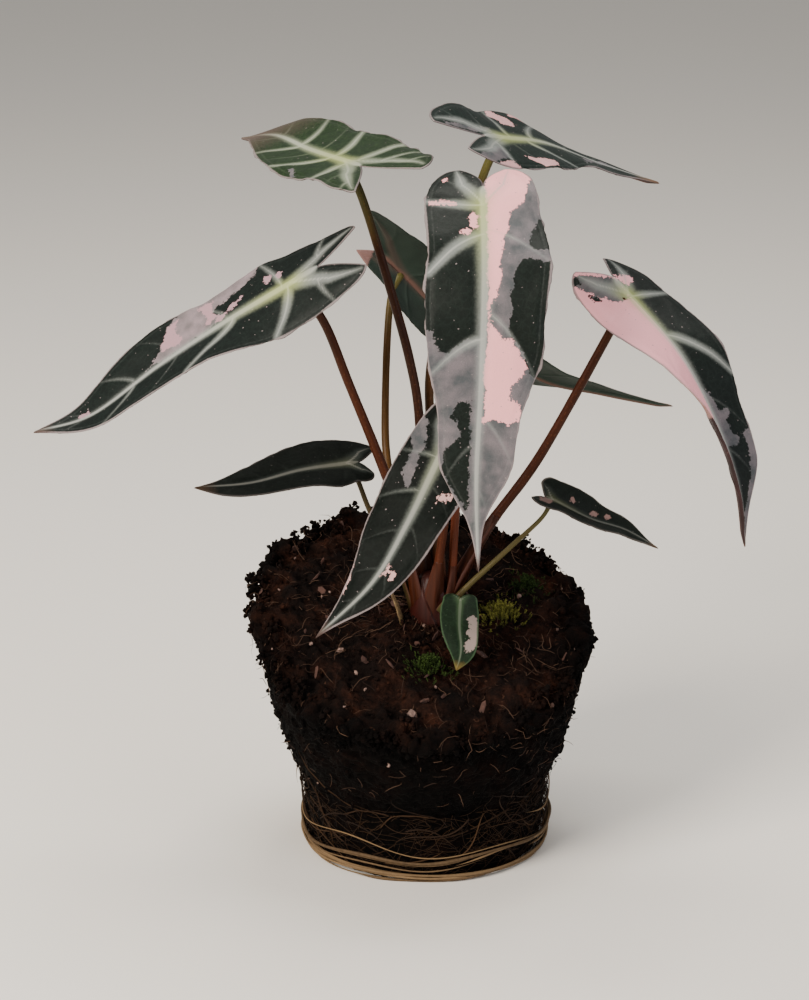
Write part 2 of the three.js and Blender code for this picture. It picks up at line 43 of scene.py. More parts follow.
# Camera and light
# The camera stands where the photograph was taken from: level with the plant's middle, looking
# down by the pitch. The photograph is 1000 pixels on its long side, which the lens is worked from.
CAMERA = {"target": (-7, 0, 120), "distance": 900, "pitch": 17.5, "lens": 97.2}
LIGHTS = {
    "key": {"place": (-780, -760, 760), "size": 560, "watts": 27, "colour": "#fff6ea"},
    "fill": {"place": (860, -760, 340), "size": 900, "watts": 6, "colour": "#f4f5ff"},
    "top": {"place": (80, 280, 1150), "size": 500, "watts": 9, "colour": "#fffaf2"},
}
TARGET = np.array(CAMERA["target"], float)
FLOOR = {"half": 12000, "colour": "#e9e4dc", "roughness": 0.8}
SKY = {"colour": "#e9e8e6", "strength": 0.5}
SEED = 20

# Leaves, with the same values as the solids. A leaf has its stalk joined at the first point of its
# midrib. Ahead of it is the blade, behind it two lobes with a notch between them. Values in pairs
# are [left, right] as seen looking at the upper face with the tip down. Half-widths go in equal
# steps from the joint to the tip, folds and curls go lobe end, joint, third, two thirds, tip, in
# degrees. "faces" is where the upper face looks, at even steps from the joint to the tip: azimuth
# from -Y towards +X, and elevation. "wave" is the height of the blade's wave and its count.
# "laterals" are the side veins as (y where it leaves the midrib, y where it meets the margin, width
# of a broad one), and one that starts behind the joint leaves the vein of its lobe. "base" is the
# colour of each half, and patches are outlines of a few points (y along the midrib, q across it,
# left negative) drawn on the flattened leaf.
WAVE_PHASES = (0.1, 0.6)
SHARED_HALF = np.array([0.92, 1, 0.95, 0.84, 0.68, 0.48, 0.2, 0])
FLAT = [0, 0, 0, 0, 0]

LEAVES = {
    "left": {
        "midrib": [(-43.5, -14, 197), (-66, -11, 182.5), (-86.5, -10, 168.5), (-108.5, -14, 153),
                   (-127, -20, 149)],
        "faces": [(-45, 50)],
        "half": [[15.5, 16.5, 14.5, 15.5, 14, 11, 5, 0], [16.5, 17, 15.5, 13, 12, 10.5, 6, 0]],
        "lobe": [26, 26], "lobe_end": [9, 9], "notch": 11,
        "fold": [[-5, -5, 6, 14, 14], [-17, -17, 6, 10, 0]],
        "wave": (1, 2.2),
        "laterals": [
            [(-11, -14, 0.5), (3, 9, 0.5), (24, 35, 0.35), (44, 55), (61, 71, 0.35), (80, 88)],
            [(-9, -12, 0.45), (1, 10, 0.65), (22, 43, 0.6), (44, 59), (62, 77, 0.4), (82, 91)],
        ],
        "patches": {
            "grey": [
                [(10, -17), (11, -13.5), (15, -11.5), (21, -9.5), (27, -8.5), (29, -6), (25, -3.5),
                 (28, -1.5), (40, -0.5), (56, -1.5), (51, -3.5), (49, -6.5), (45.5, -9), (43.5, -13),
                 (40, -15), (34, -17)],
            ],
            "pink": [
                [(17, -6.8), (21, -6), (25, -4), (31, -2.2), (27, -1.8), (22, -3.2), (18, -5.8)],
                [(40, -13.5), (43.5, -12), (45.5, -9.3), (48.5, -7), (49.5, -4.5), (44, -3), (41, -3.4),
                 (42, -9)],
                [(28, -12.5), (34, -13.5), (33, -11), (30.5, -6), (32, -3.5), (30, -3), (27.5, -5),
                 (29, -8)],
                [(2, -7), (3.5, -8.5), (4.5, -6.5), (4, -5), (2.5, -5.5)],
                [(6, -9), (8.5, -9.5), (9, -7), (7.5, -5.5), (6.5, -7)],
                [(79, -1.6), (83, -2), (83.5, -0.6), (79, -0.4)],
            ],
        },
    },
    "centre": {
        "midrib": [(17.5, -36, 226.5), (17.5, -56, 209), (16.5, -64, 180), (15, -68, 148), (16, -66, 117)],
        "faces": [(0, 45), (0, 10), (0, -5)],
        "half": [[18.4, 17.6, 18.6, 17, 13.2, 11.2, 3, 0], [17.2, 20.3, 19.2, 18.3, 12.8, 10.8, 2.6, 0]],
        "lobe": [19, 19], "lobe_end": [7, 7], "notch": 9, "lobe_droop": 6, "notch_power": 2,
        "wave": (1.5, 2.5),
        "laterals": [
            [(-8, -14), (0, -1, 0.65), (12, 26, 0.75), (46, 57, 0.5), (78, 89), (98, 106)],
            [(-9, -14), (-1, -5), (10, 22, 0.35), (38, 57, 0.35), (70, 84, 0.3), (92, 101)],
        ],
        "base": ["dark", "grey"],
        "patches": {
            "grey": [
                [(44, -19), (44, -15.5), (48, -15), (50.5, -13), (50, -10), (47.5, -7), (46, -3.5), (47, 2),
                 (122, 2), (122, -4), (100, -6), (90, -14), (70, -16), (55, -19)],
            ],
            "pink": [
                [(-20, 0.4), (-20, 16), (-12, 15), (-7, 13.5), (-3, 13), (1, 10), (3, 8), (9, 7.5), (13, 6),
                 (21, 5), (28, 4.5), (33, 3.2), (38, 1), (20, 0.6), (0, 0.8)],
                [(38, 1.2), (42, 3), (46, 5.5), (46, 9), (50, 11), (54, 14.5), (57, 12), (60, 9), (64, 9),
                 (66, 12.5), (70, 12.5), (72, 9), (70, 5), (71.5, 1), (55, 0.8)],
                [(-1.5, -16.5), (0.3, -17), (0, -12), (0.5, -8), (-1, -8), (-1.8, -12)],
                [(2.5, -3.5), (5, -4.8), (9.5, -4), (10, -6.5), (12, -8), (11.8, -5), (9.5, -2.6),
                 (5, -1.8)],
                [(-13, -12.5), (-10, -13), (-11, -11), (-14, -10.5)],
            ],
            "dark": [
                [(4, 19.5), (5, 17), (9, 15.6), (13, 14), (16, 13.4), (17.5, 15.5), (17.5, 21), (8, 21)],
                [(23, 22), (22, 17), (21, 13), (22, 10), (27, 8.8), (33, 7.2), (36, 8.2), (43, 7.6),
                 (46, 10), (50, 12.5), (57, 15), (58, 17), (52, 21), (35, 22)],
                [(65.5, -3), (65.5, -7), (70, -8.5), (72, -6.5), (75, -5), (78, -7), (80, -10), (84, -11),
                 (88, -10.3), (93, -7), (99, -3.5), (96, -2.5), (80, -2), (70, -3)],
            ],
        },
    },
    "right": {
        "midrib": [(65.5, -5, 191), (79.5, -22, 177), (90.5, -32, 158.5), (98.5, -38, 137.5),
                   (102, -38, 116)],
        "faces": [(10, 50), (45, 30), (42, 10)],
        "half": [[14, 15.5, 15, 13.5, 12, 9, 5, 0], [14, 16, 16, 15, 13, 11, 4, 0]],
        "lobe": [19, 18], "lobe_end": [8, 3], "notch": 9,
        "fold": [[-25, -20, 25, 15, 0], [-30, -14, 10, 10, 5]],
        "curl": [[0, 0, 0, 60, 120], FLAT],
        "wave": (1, 2),
        "laterals": [
            [(-8, -12), (3, 8), (24, 38), (45, 60), (66, 76)],
            [(-8, -13), (1, 3, 0.65), (20, 40, 0.65), (44, 58), (62, 74)],
        ],
        "base": ["pink", "dark"],
        "patches": {
            "grey": [
                [(52, -16), (51, -8), (52, 0), (62, 0), (64, -4), (62, -14)],
                [(-18, -9.5), (-14, -10.5), (-8, -9), (-2, -5.5), (1, -3), (2, 0), (-8, 0), (-12, -3),
                 (-16, -7)],
                [(40, 0), (43, 2.5), (46, 3), (49.5, 3.3), (49.5, 6.5), (51.5, 7), (53, 4.2), (57, 4.5),
                 (60, 6.5), (62, 4), (62, 0)],
                [(58, 14), (59, 8.5), (63, 8.5), (68, 7.5), (73, 6), (78, 3.5), (84, 1), (92, 0), (92, 8),
                 (70, 14)],
            ],
            "pink": [[(-9.5, 0.8), (-5, 2), (-4, 3.2), (-5, 5.5), (-6.5, 7), (-8.5, 5.3), (-9, 3)]],
            "dark": [
                [(62, -14), (62.5, -9), (63, -5), (65, -2), (68, 0), (97, 0), (90, -6), (75, -11)],
                [(-17.5, -10.5), (-15, -11.5), (-13.5, -9.5), (-15, -8.5), (-17, -9)],
                [(-8, -9.8), (-5, -9.6), (-3.5, -8), (-6, -8)],
            ],
        },
    },
    "front": {
        "midrib": [(4.5, -40, 147.5), (-6.5, -50, 127), (-17.5, -57, 110), (-35, -62, 94)],
        "faces": [(-15, 45), (-20, 40), (-25, 35)],
        "half": [[12.5, 13.5, 14, 13, 10.5, 7.5, 3.4, 0], SHARED_HALF * 12.7],
        "lobe": [18, 18], "lobe_end": [6, 6], "notch": 7,
        "wave": (1, 2),
        "laterals": [
            [(-6, -10), (1, 3, 0.45), (13, 20, 0.4), (27, 36), (41, 48), (54, 59)],
            [(-6, -10), (-1, 1), (10, 18), (24, 34), (40, 49), (54, 59)],
        ],
        "patches": {
            "grey": [
                [(-10, -12.5), (-9, -9.5), (-4, -7), (-1, -5.5), (2, -6.5), (6, -5.5), (9, -5.5),
                 (13.5, -5), (14, -6.5), (9, -9.5), (5, -9), (1, -9.5), (-2, -12)],
                [(-12, 3), (-8, 0.6), (-4, 0.5), (-4, 3), (-7, 4.5), (-10, 4)],
            ],
            "pink": [
                [(10.5, 9), (11.5, 6.3), (13, 5.5), (14.8, 5.8), (14, 7.5), (12.5, 9.8)],
                [(38.5, 1), (41, 1.2), (43, 0.8), (42, 2.5), (40, 3)],
                [(40, 3.2), (42.5, 4), (42, 5.2), (40.5, 4.8)],
                [(24, -14.5), (34, -13), (46, -8.8), (56, -4.6), (50, -8.6), (36, -13.6)],
            ],
        },
    },
    "top_left": {
        "midrib": [(-26.5, 10, 232), (-38.5, 33, 231.5), (-51, 57, 232), (-64, 78, 227.5)],
        "faces": [(-90, 75)],
        "half": [[20.5, 19, 18.5, 18, 15, 11, 4, 0], SHARED_HALF * 18.5],
        "lobe": [37, 33], "lobe_end": [9, 13], "notch": 12, "lobe_power": 2.6,
        "fold": [[0, 0, 6, 12, 5], FLAT],
        "wave": (1, 2),
        "laterals": [
            [(-25, -30, 0.4), (-14, -18, 0.5), (-5, -5, 0.75), (8, 20, 0.65), (20, 30), (33, 41, 0.5),
             (48, 56)],
            [(-24, -27, 0.4), (-15, -18), (-4, -9, 0.7), (8, 22, 0.6), (20, 31), (32, 43, 0.5), (48, 57)],
        ],
        "patches": {"grey": [[(4, 16.6), (8, 15), (11, 14), (11.5, 15), (8, 16.2), (5, 17.6)]]},
    },
    "top_right": {
        "midrib": [(25, 10, 239.5), (39.5, 28, 234.5), (59, 45, 224.5), (80.5, 58, 215.5)],
        "faces": [(62, 60), (75, 72), (75, 72)],
        "half": [[17.5, 19, 17, 13, 10, 7, 3, 0], [17.5, 19, 17.5, 14, 10, 7, 3, 0]],
        "lobe": [29, 32], "lobe_end": [9, 5], "notch": 11,
        "wave": (1, 2),
        "laterals": [
            [(-18, -23), (-8, -10, 0.5), (1, 6), (12, 26, 0.55), (30, 42), (46, 54)],
            [(-18, -22), (-7, -6), (4, 10, 0.5), (17, 30, 0.5), (34, 45), (48, 56)],
        ],
        "patches": {
            "grey": [
                [(-28, -13), (-18, -9), (-9, -5), (-9, -12), (-16, -13.5), (-24, -16)],
                [(-30, 5), (-22, 3), (-12, 1.5), (-4, 3), (-2, 5.5), (-10, 4), (-20, 5)],
                [(36, -9.5), (42, -6), (52, -2), (60, 0), (54, 3), (46, -1), (38, -5)],
            ],
            "pink": [
                [(-22, -18), (-20, -16), (-14, -14), (-9, -13), (-8, -18)],
                [(9, 9), (14, 8), (18, 10), (17, 14), (12, 19), (9, 16), (11, 12)],
                [(19, 15.5), (24, 14.5), (28, 16), (22, 19)],
                [(0, -11), (5, -12), (12, -14), (10, -17.5), (4, -17)],
            ],
        },
    },
    "low_left": {
        "midrib": [(-26.5, 8, 130), (-41.5, 0, 130), (-58, -8, 128), (-76, -14, 128.5)],
        "faces": [(-20, 60)],
        "half": [SHARED_HALF * 11.8, [9.5, 12.5, 12.5, 11, 9, 7, 4.5, 0]],
        "lobe": [13, 8.5], "lobe_end": [5, 5], "notch": 5,
        "fold": [[5, 10, 12, 12, 10], [-30, 0, 12, 12, 0]],
        "wave": (0.6, 1.5),
    },
    "back": {
        "midrib": [(-8, 42, 188.5), (12, 48, 168), (40, 52, 148.5), (61.5, 52, 143), (86.5, 48, 139)],
        "faces": [(160, 30), (160, 50), (160, 50)],
        "half": [SHARED_HALF * 18, [8, 10, 11, 11, 9, 6.5, 2.8, 0]],
        "lobe": [26, 18], "lobe_end": [10, 6], "notch": 10,
        "fold": [FLAT, [-70, -65, -30, 20, 20]],
        "wave": (1, 2),
        "patches": {"pink": [[(-20, 0.5), (-20, 10), (-11, 10), (-13, 0.5)]]},
    },
    "low_right": {
        "midrib": [(42, -2, 120.5), (55, 2, 112.5), (67, 4, 108), (78.5, 4, 101.5)],
        "faces": [(0, 60), (0, 62), (0, 65)],
        "half": [SHARED_HALF * 9, SHARED_HALF * 8.6],
        "lobe": [9, 5.5], "lobe_end": [4, 4], "notch": 3,
        "fold": [[12, 25, 30, 20, 0], [15, 25, 25, 15, 0]],
        "wave": (0.4, 2),
        "patches": {
            "pink": [
                [(-6, -5), (-2.5, -5), (-0.5, -2.5), (-0.5, -0.5), (-3, -0.5), (-6, -2.5)],
                [(6, 2.8), (8, 2.4), (8.5, 4), (6.5, 4)],
                [(15, 1.6), (18, 1.4), (18.5, 2.8), (16, 3)],
                [(21, 2), (23.5, 2.4), (23, 4), (21.5, 3.8)],
            ],
        },
    },
    "small": {
        "midrib": [(11.5, -16, 90), (11, -24, 84.5), (11.5, -29, 77.5), (10, -30, 70.5)],
        "faces": [(0, 30), (0, 20), (0, 10)],
        "half": [[5.8, 6.4, 6.4, 6, 5.2, 4.2, 2.2, 0], [5.6, 6.2, 6.4, 6.2, 5.8, 5, 3, 0]],
        "lobe": [5, 5], "lobe_end": [2.5, 2.5], "notch": 1.5, "lobe_droop": 3,
        "wave": (0.2, 1),
        "patches": {
            "pink": [[(6, 4.5), (7.5, 2), (9, 3.2), (11.5, 3.4), (13, 2.2), (15, 3), (17, 1.2), (19.5, 1.5),
                      (18, 4), (15, 7), (9, 7)]],
        },
    },
}

BLADE = {"grid": 0.6, "thickness": 0.55}

# Stalks, with the same routes as the solids: from inside the crown to the joint with the blade.
# "sheath" is the length at the foot that belongs to the crown, and "radius" goes foot, end of the
# sheath, joint. "colours" go foot, middle, top, as in full light, and STALK_SHADE darkens them.
STALK_SHADE = 0.46
STALKS = {
    "left": {
        "sheath": 20, "radius": (2.2, 1.7, 1.4), "colours": ("#70341a", "#542812", "#46280f"),
        "route": [(-2, -3, 80), (-6, -4, 105), (-12.5, -4, 128), (-25, -5, 161), (-33.5, -6, 183)],
    },
    "centre": {
        "sheath": 18, "radius": (2, 1.4, 1.3), "colours": ("#7a3a20", "#6a301a", "#7c7a3c"),
        "route": [(5, -2, 80), (8.5, -3, 90), (10, -5, 118), (12, -8, 146.5), (16, -15, 182),
                  (18, -26, 210.5)],
    },
    "right": {
        "sheath": 38, "radius": (2.8, 1.7, 1.4), "colours": ("#6e341c", "#4e2410", "#56300f"),
        "route": [(6, 1, 80), (10.5, 1, 90.5), (21.5, 1, 111), (38, 0, 135.5), (59.5, -3, 177.5)],
    },
    "front": {
        "sheath": 20, "radius": (2, 1.5, 1.2), "colours": ("#7a3c22", "#5c2c18", "#7a6a3c"),
        "route": [(2, -6, 80), (4.5, -7, 101), (7, -14, 125), (6.5, -27, 141)],
    },
    "top_left": {
        "sheath": 24, "radius": (2.2, 1.65, 1.4), "colours": ("#66341c", "#40200f", "#5f6230"),
        "route": [(0, 3, 80), (-1, 5, 110), (-2, 5, 145.5), (-5.5, 6, 167.5), (-13.5, 8, 196.5),
                  (-21, 10, 220.5)],
    },
    "top_right": {
        "sheath": 24, "radius": (2.1, 1.6, 1.4), "colours": ("#703a20", "#5a3a1c", "#7b7c40"),
        "route": [(4, 4, 80), (4, 8, 110), (1.5, 9.5, 145.5), (2, 11, 165.5), (8, 12, 192), (19, 12, 228)],
    },
    "low_left": {
        "sheath": 16, "radius": (1.4, 0.95, 0.85), "colours": ("#6b5334", "#55492c", "#4a4428"),
        "route": [(-3.5, -1, 80), (-6.5, -1, 90), (-10, 0, 100.5), (-18, 4, 113.5), (-23, 7, 125.5)],
    },
    "back": {
        "sheath": 20, "radius": (1.9, 1.4, 1.2), "colours": ("#713620", "#6a4a24", "#74703c"),
        "route": [
            (-1, 3.5, 80), (-3.5, 5.5, 94), (-7, 7, 107), (-12.5, 12, 128), (-13.5, 22, 146.5),
            (-12, 38, 177.5),
        ],
    },
    "low_right": {
        "sheath": 11, "radius": (1.3, 1, 0.7), "colours": ("#7d6238", "#756a40", "#6a6a40"),
        "route": [(6.5, -4, 80), (9, -4.2, 84.5), (13.5, -4.5, 90.5), (28.5, -4, 105), (38.5, -3, 114.5)],
    },
    "small": {
        "sheath": 8, "radius": (1, 0.75, 0.6), "colours": ("#7a6a40", "#6f6f42", "#5f7040"),
        "route": [(4, -6, 81), (7, -9, 87.5), (10, -12.5, 90)],
    },
}

# Ball of peat, crown and roots, with the same sizes as the solids but for the crumbs, whose even
# waves are mostly given over to finer noise.
BALL = {
    "rim_radius": 56, "centre_height": 79, "mound_height": 2, "mound_radius": 15, "backward_rise": 0.28,
    "leftward_rise": 0.08, "rim_lift": 3, "front_drop": 12, "lean_left": 2,
    "crumb_on_top": 0.8, "crumb_on_side": 0.5,
}
# Along the ball's profile the foot ends and the rim lies at these shares.
FOOT_ENDS, SIDE_RUN, RIM_AT, TOP_RUN = 0.2, 0.4, 0.6, 0.4
FOOT = [(0, 39.4), (4, 40.1), (10, 40.7), (17, 41.3), (24, 41.9)]
SIDE = [(0.12, 44.4), (0.25, 47.4), (0.4, 49.9), (0.55, 52), (0.7, 53.8), (0.84, 55.2), (0.94, 55.9),
        (1, 56)]
CROWN = {"centre": (2, -1), "radius": 7.8, "foot": 68, "top": 95}
ROOT = {"radius": 0.9, "mat_radius": 41.8, "flare": 0.08}
ROOT_TURNS = [(2, 0.6, 0), (5.5, 2, 1.1), (10.5, 3, 2.3), (17, 3.5, 5.2)]
MOSS_PADS = {
    "light": {"place": (25, 3), "size": (6.5, 6, 2.6), "shoots": 320, "colours": ("#262c10", "#7f7d38")},
    "dark": {"place": (35, 17), "size": (5, 5, 2.2), "shoots": 300, "colours": ("#0e160a", "#33451c")},
    "front": {"place": (1, -28), "size": (5.5, 4.5, 2), "shoots": 300, "colours": ("#10190b", "#3f5222")},
}
DRY_SCALE = {"foot": (-7.4, -4, 79), "tip": (-10.5, -5, 92), "width": 7, "hollow": 0.09, "bend": 2.5}


# Small maths
def unit(vectors):
    """Each vector divided by its length."""
    return vectors / np.maximum(np.linalg.norm(vectors, axis=-1, keepdims=True), 1e-12)


def mix(a, b, share):
    """a where the share is 0, b where it is 1, in proportion between."""
    return a + (b - a) * share


def smooth(low, high, value):
    """0 below low and 1 above high, with the curve 3t^2 - 2t^3 between; low may be the larger."""
    t = np.clip((value - low) / (high - low), 0, 1)
    return t * t * (3 - 2 * t)


def on_curve(values, share):
    """Equally spaced values read at a share 0 to 1 along them, by the Catmull-Rom cubic, which runs
    straight on past both ends."""
    values = np.asarray(values, float)
    padded = np.concatenate([2 * values[:1] - values[1:2], values, 2 * values[-1:] - values[-2:-1]])
    place = np.clip(share, 0, 1) * (len(values) - 1)
    step = np.minimum(place.astype(int), len(values) - 2)
    f = place - step
    if values.ndim > 1:
        f = f[..., None]
    p0, p1, p2, p3 = (padded[step + k] for k in range(4))
    slope_in, slope_out = (p2 - p0) / 2, (p3 - p1) / 2
    rise = p2 - p1
    square, cube = 3 * rise - 2 * slope_in - slope_out, slope_in + slope_out - 2 * rise
    return p1 + slope_in * f + square * f**2 + cube * f**3


class Path:
    """A smooth line through points, read by arc length: the Catmull-Rom curve sampled finely, with
    the samples' running distance turned round into a place for each length."""

    def __init__(self, points, samples=400):
        self.line = on_curve(points, np.linspace(0, 1, samples))
        steps = np.linalg.norm(np.diff(self.line, axis=0), axis=1)
        self.run = np.concatenate([[0], np.cumsum(steps)])
        self.length = self.run[-1]

    def at(self, along):
        """The point at each arc length."""
        along = np.clip(along, 0, self.length)
        return np.stack([np.interp(along, self.run, self.line[:, k]) for k in range(3)], -1)

    def ahead(self, along, nudge=0.5):
        """The direction of travel at each arc length, from points half a millimetre either side."""
        return unit(self.at(along + nudge) - self.at(along - nudge))


def lattice(points, size, seed):
    """Noise from -1 to 1: a value drawn by an integer hash for each corner of a cubic lattice with
    the cell size given, blended inside each cell by 6t^5 - 15t^4 + 10t^3 along the three axes."""
    place = np.asarray(points, float) / size
    cell = np.floor(place).astype(np.int64)
    f = place - cell
    f = f**3 * (f * (6 * f - 15) + 10)
    total = np.zeros(place.shape[:-1])
    for corner in np.ndindex(2, 2, 2):
        key = (cell + np.array(corner)).astype(np.uint32)
        h = key[..., 0] * np.uint32(73856093) ^ key[..., 1] * np.uint32(19349663)
        h ^= key[..., 2] * np.uint32(83492791) ^ np.uint32((seed * 2654435761) & 0xFFFFFFFF)
        h = (h ^ (h >> np.uint32(13))) * np.uint32(1274126177)
        h ^= h >> np.uint32(16)
        weight = np.prod(np.where(np.array(corner) == 1, f, 1 - f), axis=-1)
        total += weight * ((h & np.uint32(0xFFFF)) / 32767.5 - 1)
    return total


def layered(points, size, seed, layers=3):
    """Lattice noise added up over layers, each half the size and half the height of the last."""
    return sum(lattice(points, size / 2**k, seed + k) / 2**k for k in range(layers))


# Meshes
def make_piece(
    name, points, faces, materials, nodes=(), fields=None, face_materials=None, sharp=False
):
    """A mesh object of the points in millimetres and the faces, given as rows of three or four
    point numbers. Fields are one number or one vector for each point, kept as attributes."""
    mesh = bpy.data.meshes.new(name)
    count, corners = faces.shape
    mesh.vertices.add(len(points))
    mesh.vertices.foreach_set("co", (np.asarray(points, np.float32) * MM).ravel())
    mesh.loops.add(count * corners)
    mesh.loops.foreach_set("vertex_index", faces.astype(np.int32).ravel())
    mesh.polygons.add(count)
    mesh.polygons.foreach_set("loop_start", np.arange(count, dtype=np.int32) * corners)
    for material in materials:
        mesh.materials.append(material)
    if face_materials is not None:
        mesh.polygons.foreach_set("material_index", face_materials.astype(np.int32))
    mesh.update(calc_edges=True)
    mesh.polygons.foreach_set("use_smooth", np.full(count, not sharp))
    for field, values in (fields or {}).items():
        vector = values.ndim > 1
        attribute = mesh.attributes.new(field, "FLOAT_VECTOR" if vector else "FLOAT", "POINT")
        attribute.data.foreach_set("vector" if vector else "value", values.astype(np.float32).ravel())
    piece = bpy.data.objects.new(name, mesh)
    bpy.context.scene.collection.objects.link(piece)
    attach(piece, "root")
    if nodes:
        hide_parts(*nodes)


def welded(points, triangles, fields):
    """The same surface with points that share a place merged and triangles without area left out."""
    keys = np.round(points * 1000).astype(np.int64)
    _, first, number = np.unique(keys, axis=0, return_index=True, return_inverse=True)
    triangles = number.reshape(-1)[triangles]
    a, b, c = triangles.T
    kept = (a != b) & (b != c) & (c != a)
    return points[first], triangles[kept], {k: v[first] for k, v in fields.items()}, kept


def grid_faces(rows, columns, around=False):
    """Quads of a grid of points numbered row by row, closed round the columns if asked."""
    r = np.arange(rows - 1)[:, None]
    c = np.arange(columns if around else columns - 1)[None, :]
    beside = (c + 1) % columns
    here, above = r * columns, (r + 1) * columns
    quads = np.stack([here + c, here + beside, above + beside, above + c], -1)
    return quads.reshape(-1, 4)


def rods(lines, radii, sides, hint, shape=1.0):
    """Round rods along many lines of equally many points. Round each point is a ring square to the
    line, turned so that its first spoke lies across the hint, and the first and last rings shrink
    to nothing so that the rod is closed. shape multiplies each spoke's length."""
    lines = np.asarray(lines, float)
    count, steps, _ = lines.shape
    ahead = unit(np.gradient(lines, axis=1))
    across = unit(np.cross(ahead, np.broadcast_to(hint, ahead.shape)))
    other = np.cross(ahead, across)
    turn = 2 * np.pi * np.arange(sides) / sides
    radii = np.array(np.broadcast_to(radii, (count, steps)), float)
    radii[:, 0] = radii[:, -1] = 0
    spokes = radii[..., None] * shape
    rings = (
        lines[:, :, None]
        + (spokes * np.cos(turn))[..., None] * across[:, :, None]
        + (spokes * np.sin(turn))[..., None] * other[:, :, None]
    )
    quads = grid_faces(steps, sides, around=True)
    faces = quads[None] + (np.arange(count) * steps * sides)[:, None, None]
    return rings.reshape(-1, 3), faces.reshape(-1, 4)[:, ::-1]


def scattered(shape, faces, places, sizes, rng):
    """Copies of a small closed shape, each stretched along its own axes and turned at random."""
    count = len(places)
    turns = rng.normal(size=(count, 4))
    w, x, y, z = unit(turns).T
    matrix = np.stack([
        np.stack([1 - 2 * (y * y + z * z), 2 * (x * y - w * z), 2 * (x * z + w * y)], -1),
        np.stack([2 * (x * y + w * z), 1 - 2 * (x * x + z * z), 2 * (y * z - w * x)], -1),
        np.stack([2 * (x * z - w * y), 2 * (y * z + w * x), 1 - 2 * (x * x + y * y)], -1),
    ], 1)
    dented = shape[None] * (1 + 0.22 * rng.normal(size=(count, len(shape), 1)).clip(-1.5, 1.5))
    points = np.einsum("nij,nkj->nki", matrix, dented * sizes[:, None, :]) + places[:, None]
    numbers = faces[None] + (np.arange(count) * len(shape))[:, None, None]
    return points.reshape(-1, 3), numbers.reshape(-1, faces.shape[1])


def lump():
    """The twelve corners and twenty faces of an icosahedron of radius one."""
    g = (1 + 5**0.5) / 2
    corners = [(-1, g, 0), (1, g, 0), (-1, -g, 0), (1, -g, 0), (0, -1, g), (0, 1, g),
               (0, -1, -g), (0, 1, -g), (g, 0, -1), (g, 0, 1), (-g, 0, -1), (-g, 0, 1)]
    faces = [(0, 11, 5), (0, 5, 1), (0, 1, 7), (0, 7, 10), (0, 10, 11), (1, 5, 9), (5, 11, 4),
             (11, 10, 2), (10, 7, 6), (7, 1, 8), (3, 9, 4), (3, 4, 2), (3, 2, 6), (3, 6, 8),
             (3, 8, 9), (4, 9, 5), (2, 4, 11), (6, 2, 10), (8, 6, 7), (9, 8, 1)]
    return unit(np.array(corners, float)), np.array(faces)


# Materials
SOCKETS = {
    "Mix": (0, 6, 7), "Math": (0, 1, 2), "VectorMath": (0, 1, 2),
    "MapRange": ("Value", "From Min", "From Max", "To Min", "To Max"),
}


def colour(code):
    """A hex colour as the eye sees it, turned to the linear values that light adds up in."""
    parts = np.array([int(code[i:i + 2], 16) for i in (1, 3, 5)]) / 255
    linear = np.where(parts <= 0.04045, parts / 12.92, ((parts + 0.055) / 1.055) ** 2.4)
    return (*linear, 1)


def add(tree, kind, inputs=(), out=0, ramp=(), **settings):
    """Adds a node with its settings, links or sets its inputs, and gives back the output asked for.
    Inputs go by name or number, or as a tuple in the order of SOCKETS. A Mix mixes colours."""
    node = tree.nodes.new("ShaderNode" + kind)
    if kind == "Mix":
        node.data_type = "RGBA"
        out = 2
    for key, value in settings.items():
        setattr(node, key, value)
    for number, (place, code) in enumerate(ramp):
        stops = node.color_ramp.elements
        ends = {0: stops[0], len(ramp) - 1: stops[len(stops) - 1]}
        stop = ends[number] if number in ends else stops.new(place)
        stop.position = place
        stop.color = colour(code)
    for key, value in inputs.items() if isinstance(inputs, dict) else zip(SOCKETS.get(kind, ()), inputs):
        socket = node.inputs[key]
        if isinstance(value, bpy.types.NodeSocket):
            tree.links.new(value, socket)
        else:
            socket.default_value = colour(value) if isinstance(value, str) else value
    return node.outputs[out]


def finish_of(name, base, roughness, normal=None, **shader):
    """Ends a material: one Principled shader with the colour and the rest given, on the surface."""
    tree = base.id_data
    inputs = {"Base Color": base, "Roughness": roughness, **shader}
    if normal is not None:
        inputs["Normal"] = normal
    surface = add(tree, "BsdfPrincipled", inputs)
    output = tree.nodes.new("ShaderNodeOutputMaterial")
    tree.links.new(surface, output.inputs["Surface"])
    return bpy.data.materials[name]


def new_tree(name):
    """An empty node tree of a new material."""
    material = bpy.data.materials.new(name)
    material.use_nodes = True
    material.node_tree.nodes.clear()
    return material.node_tree


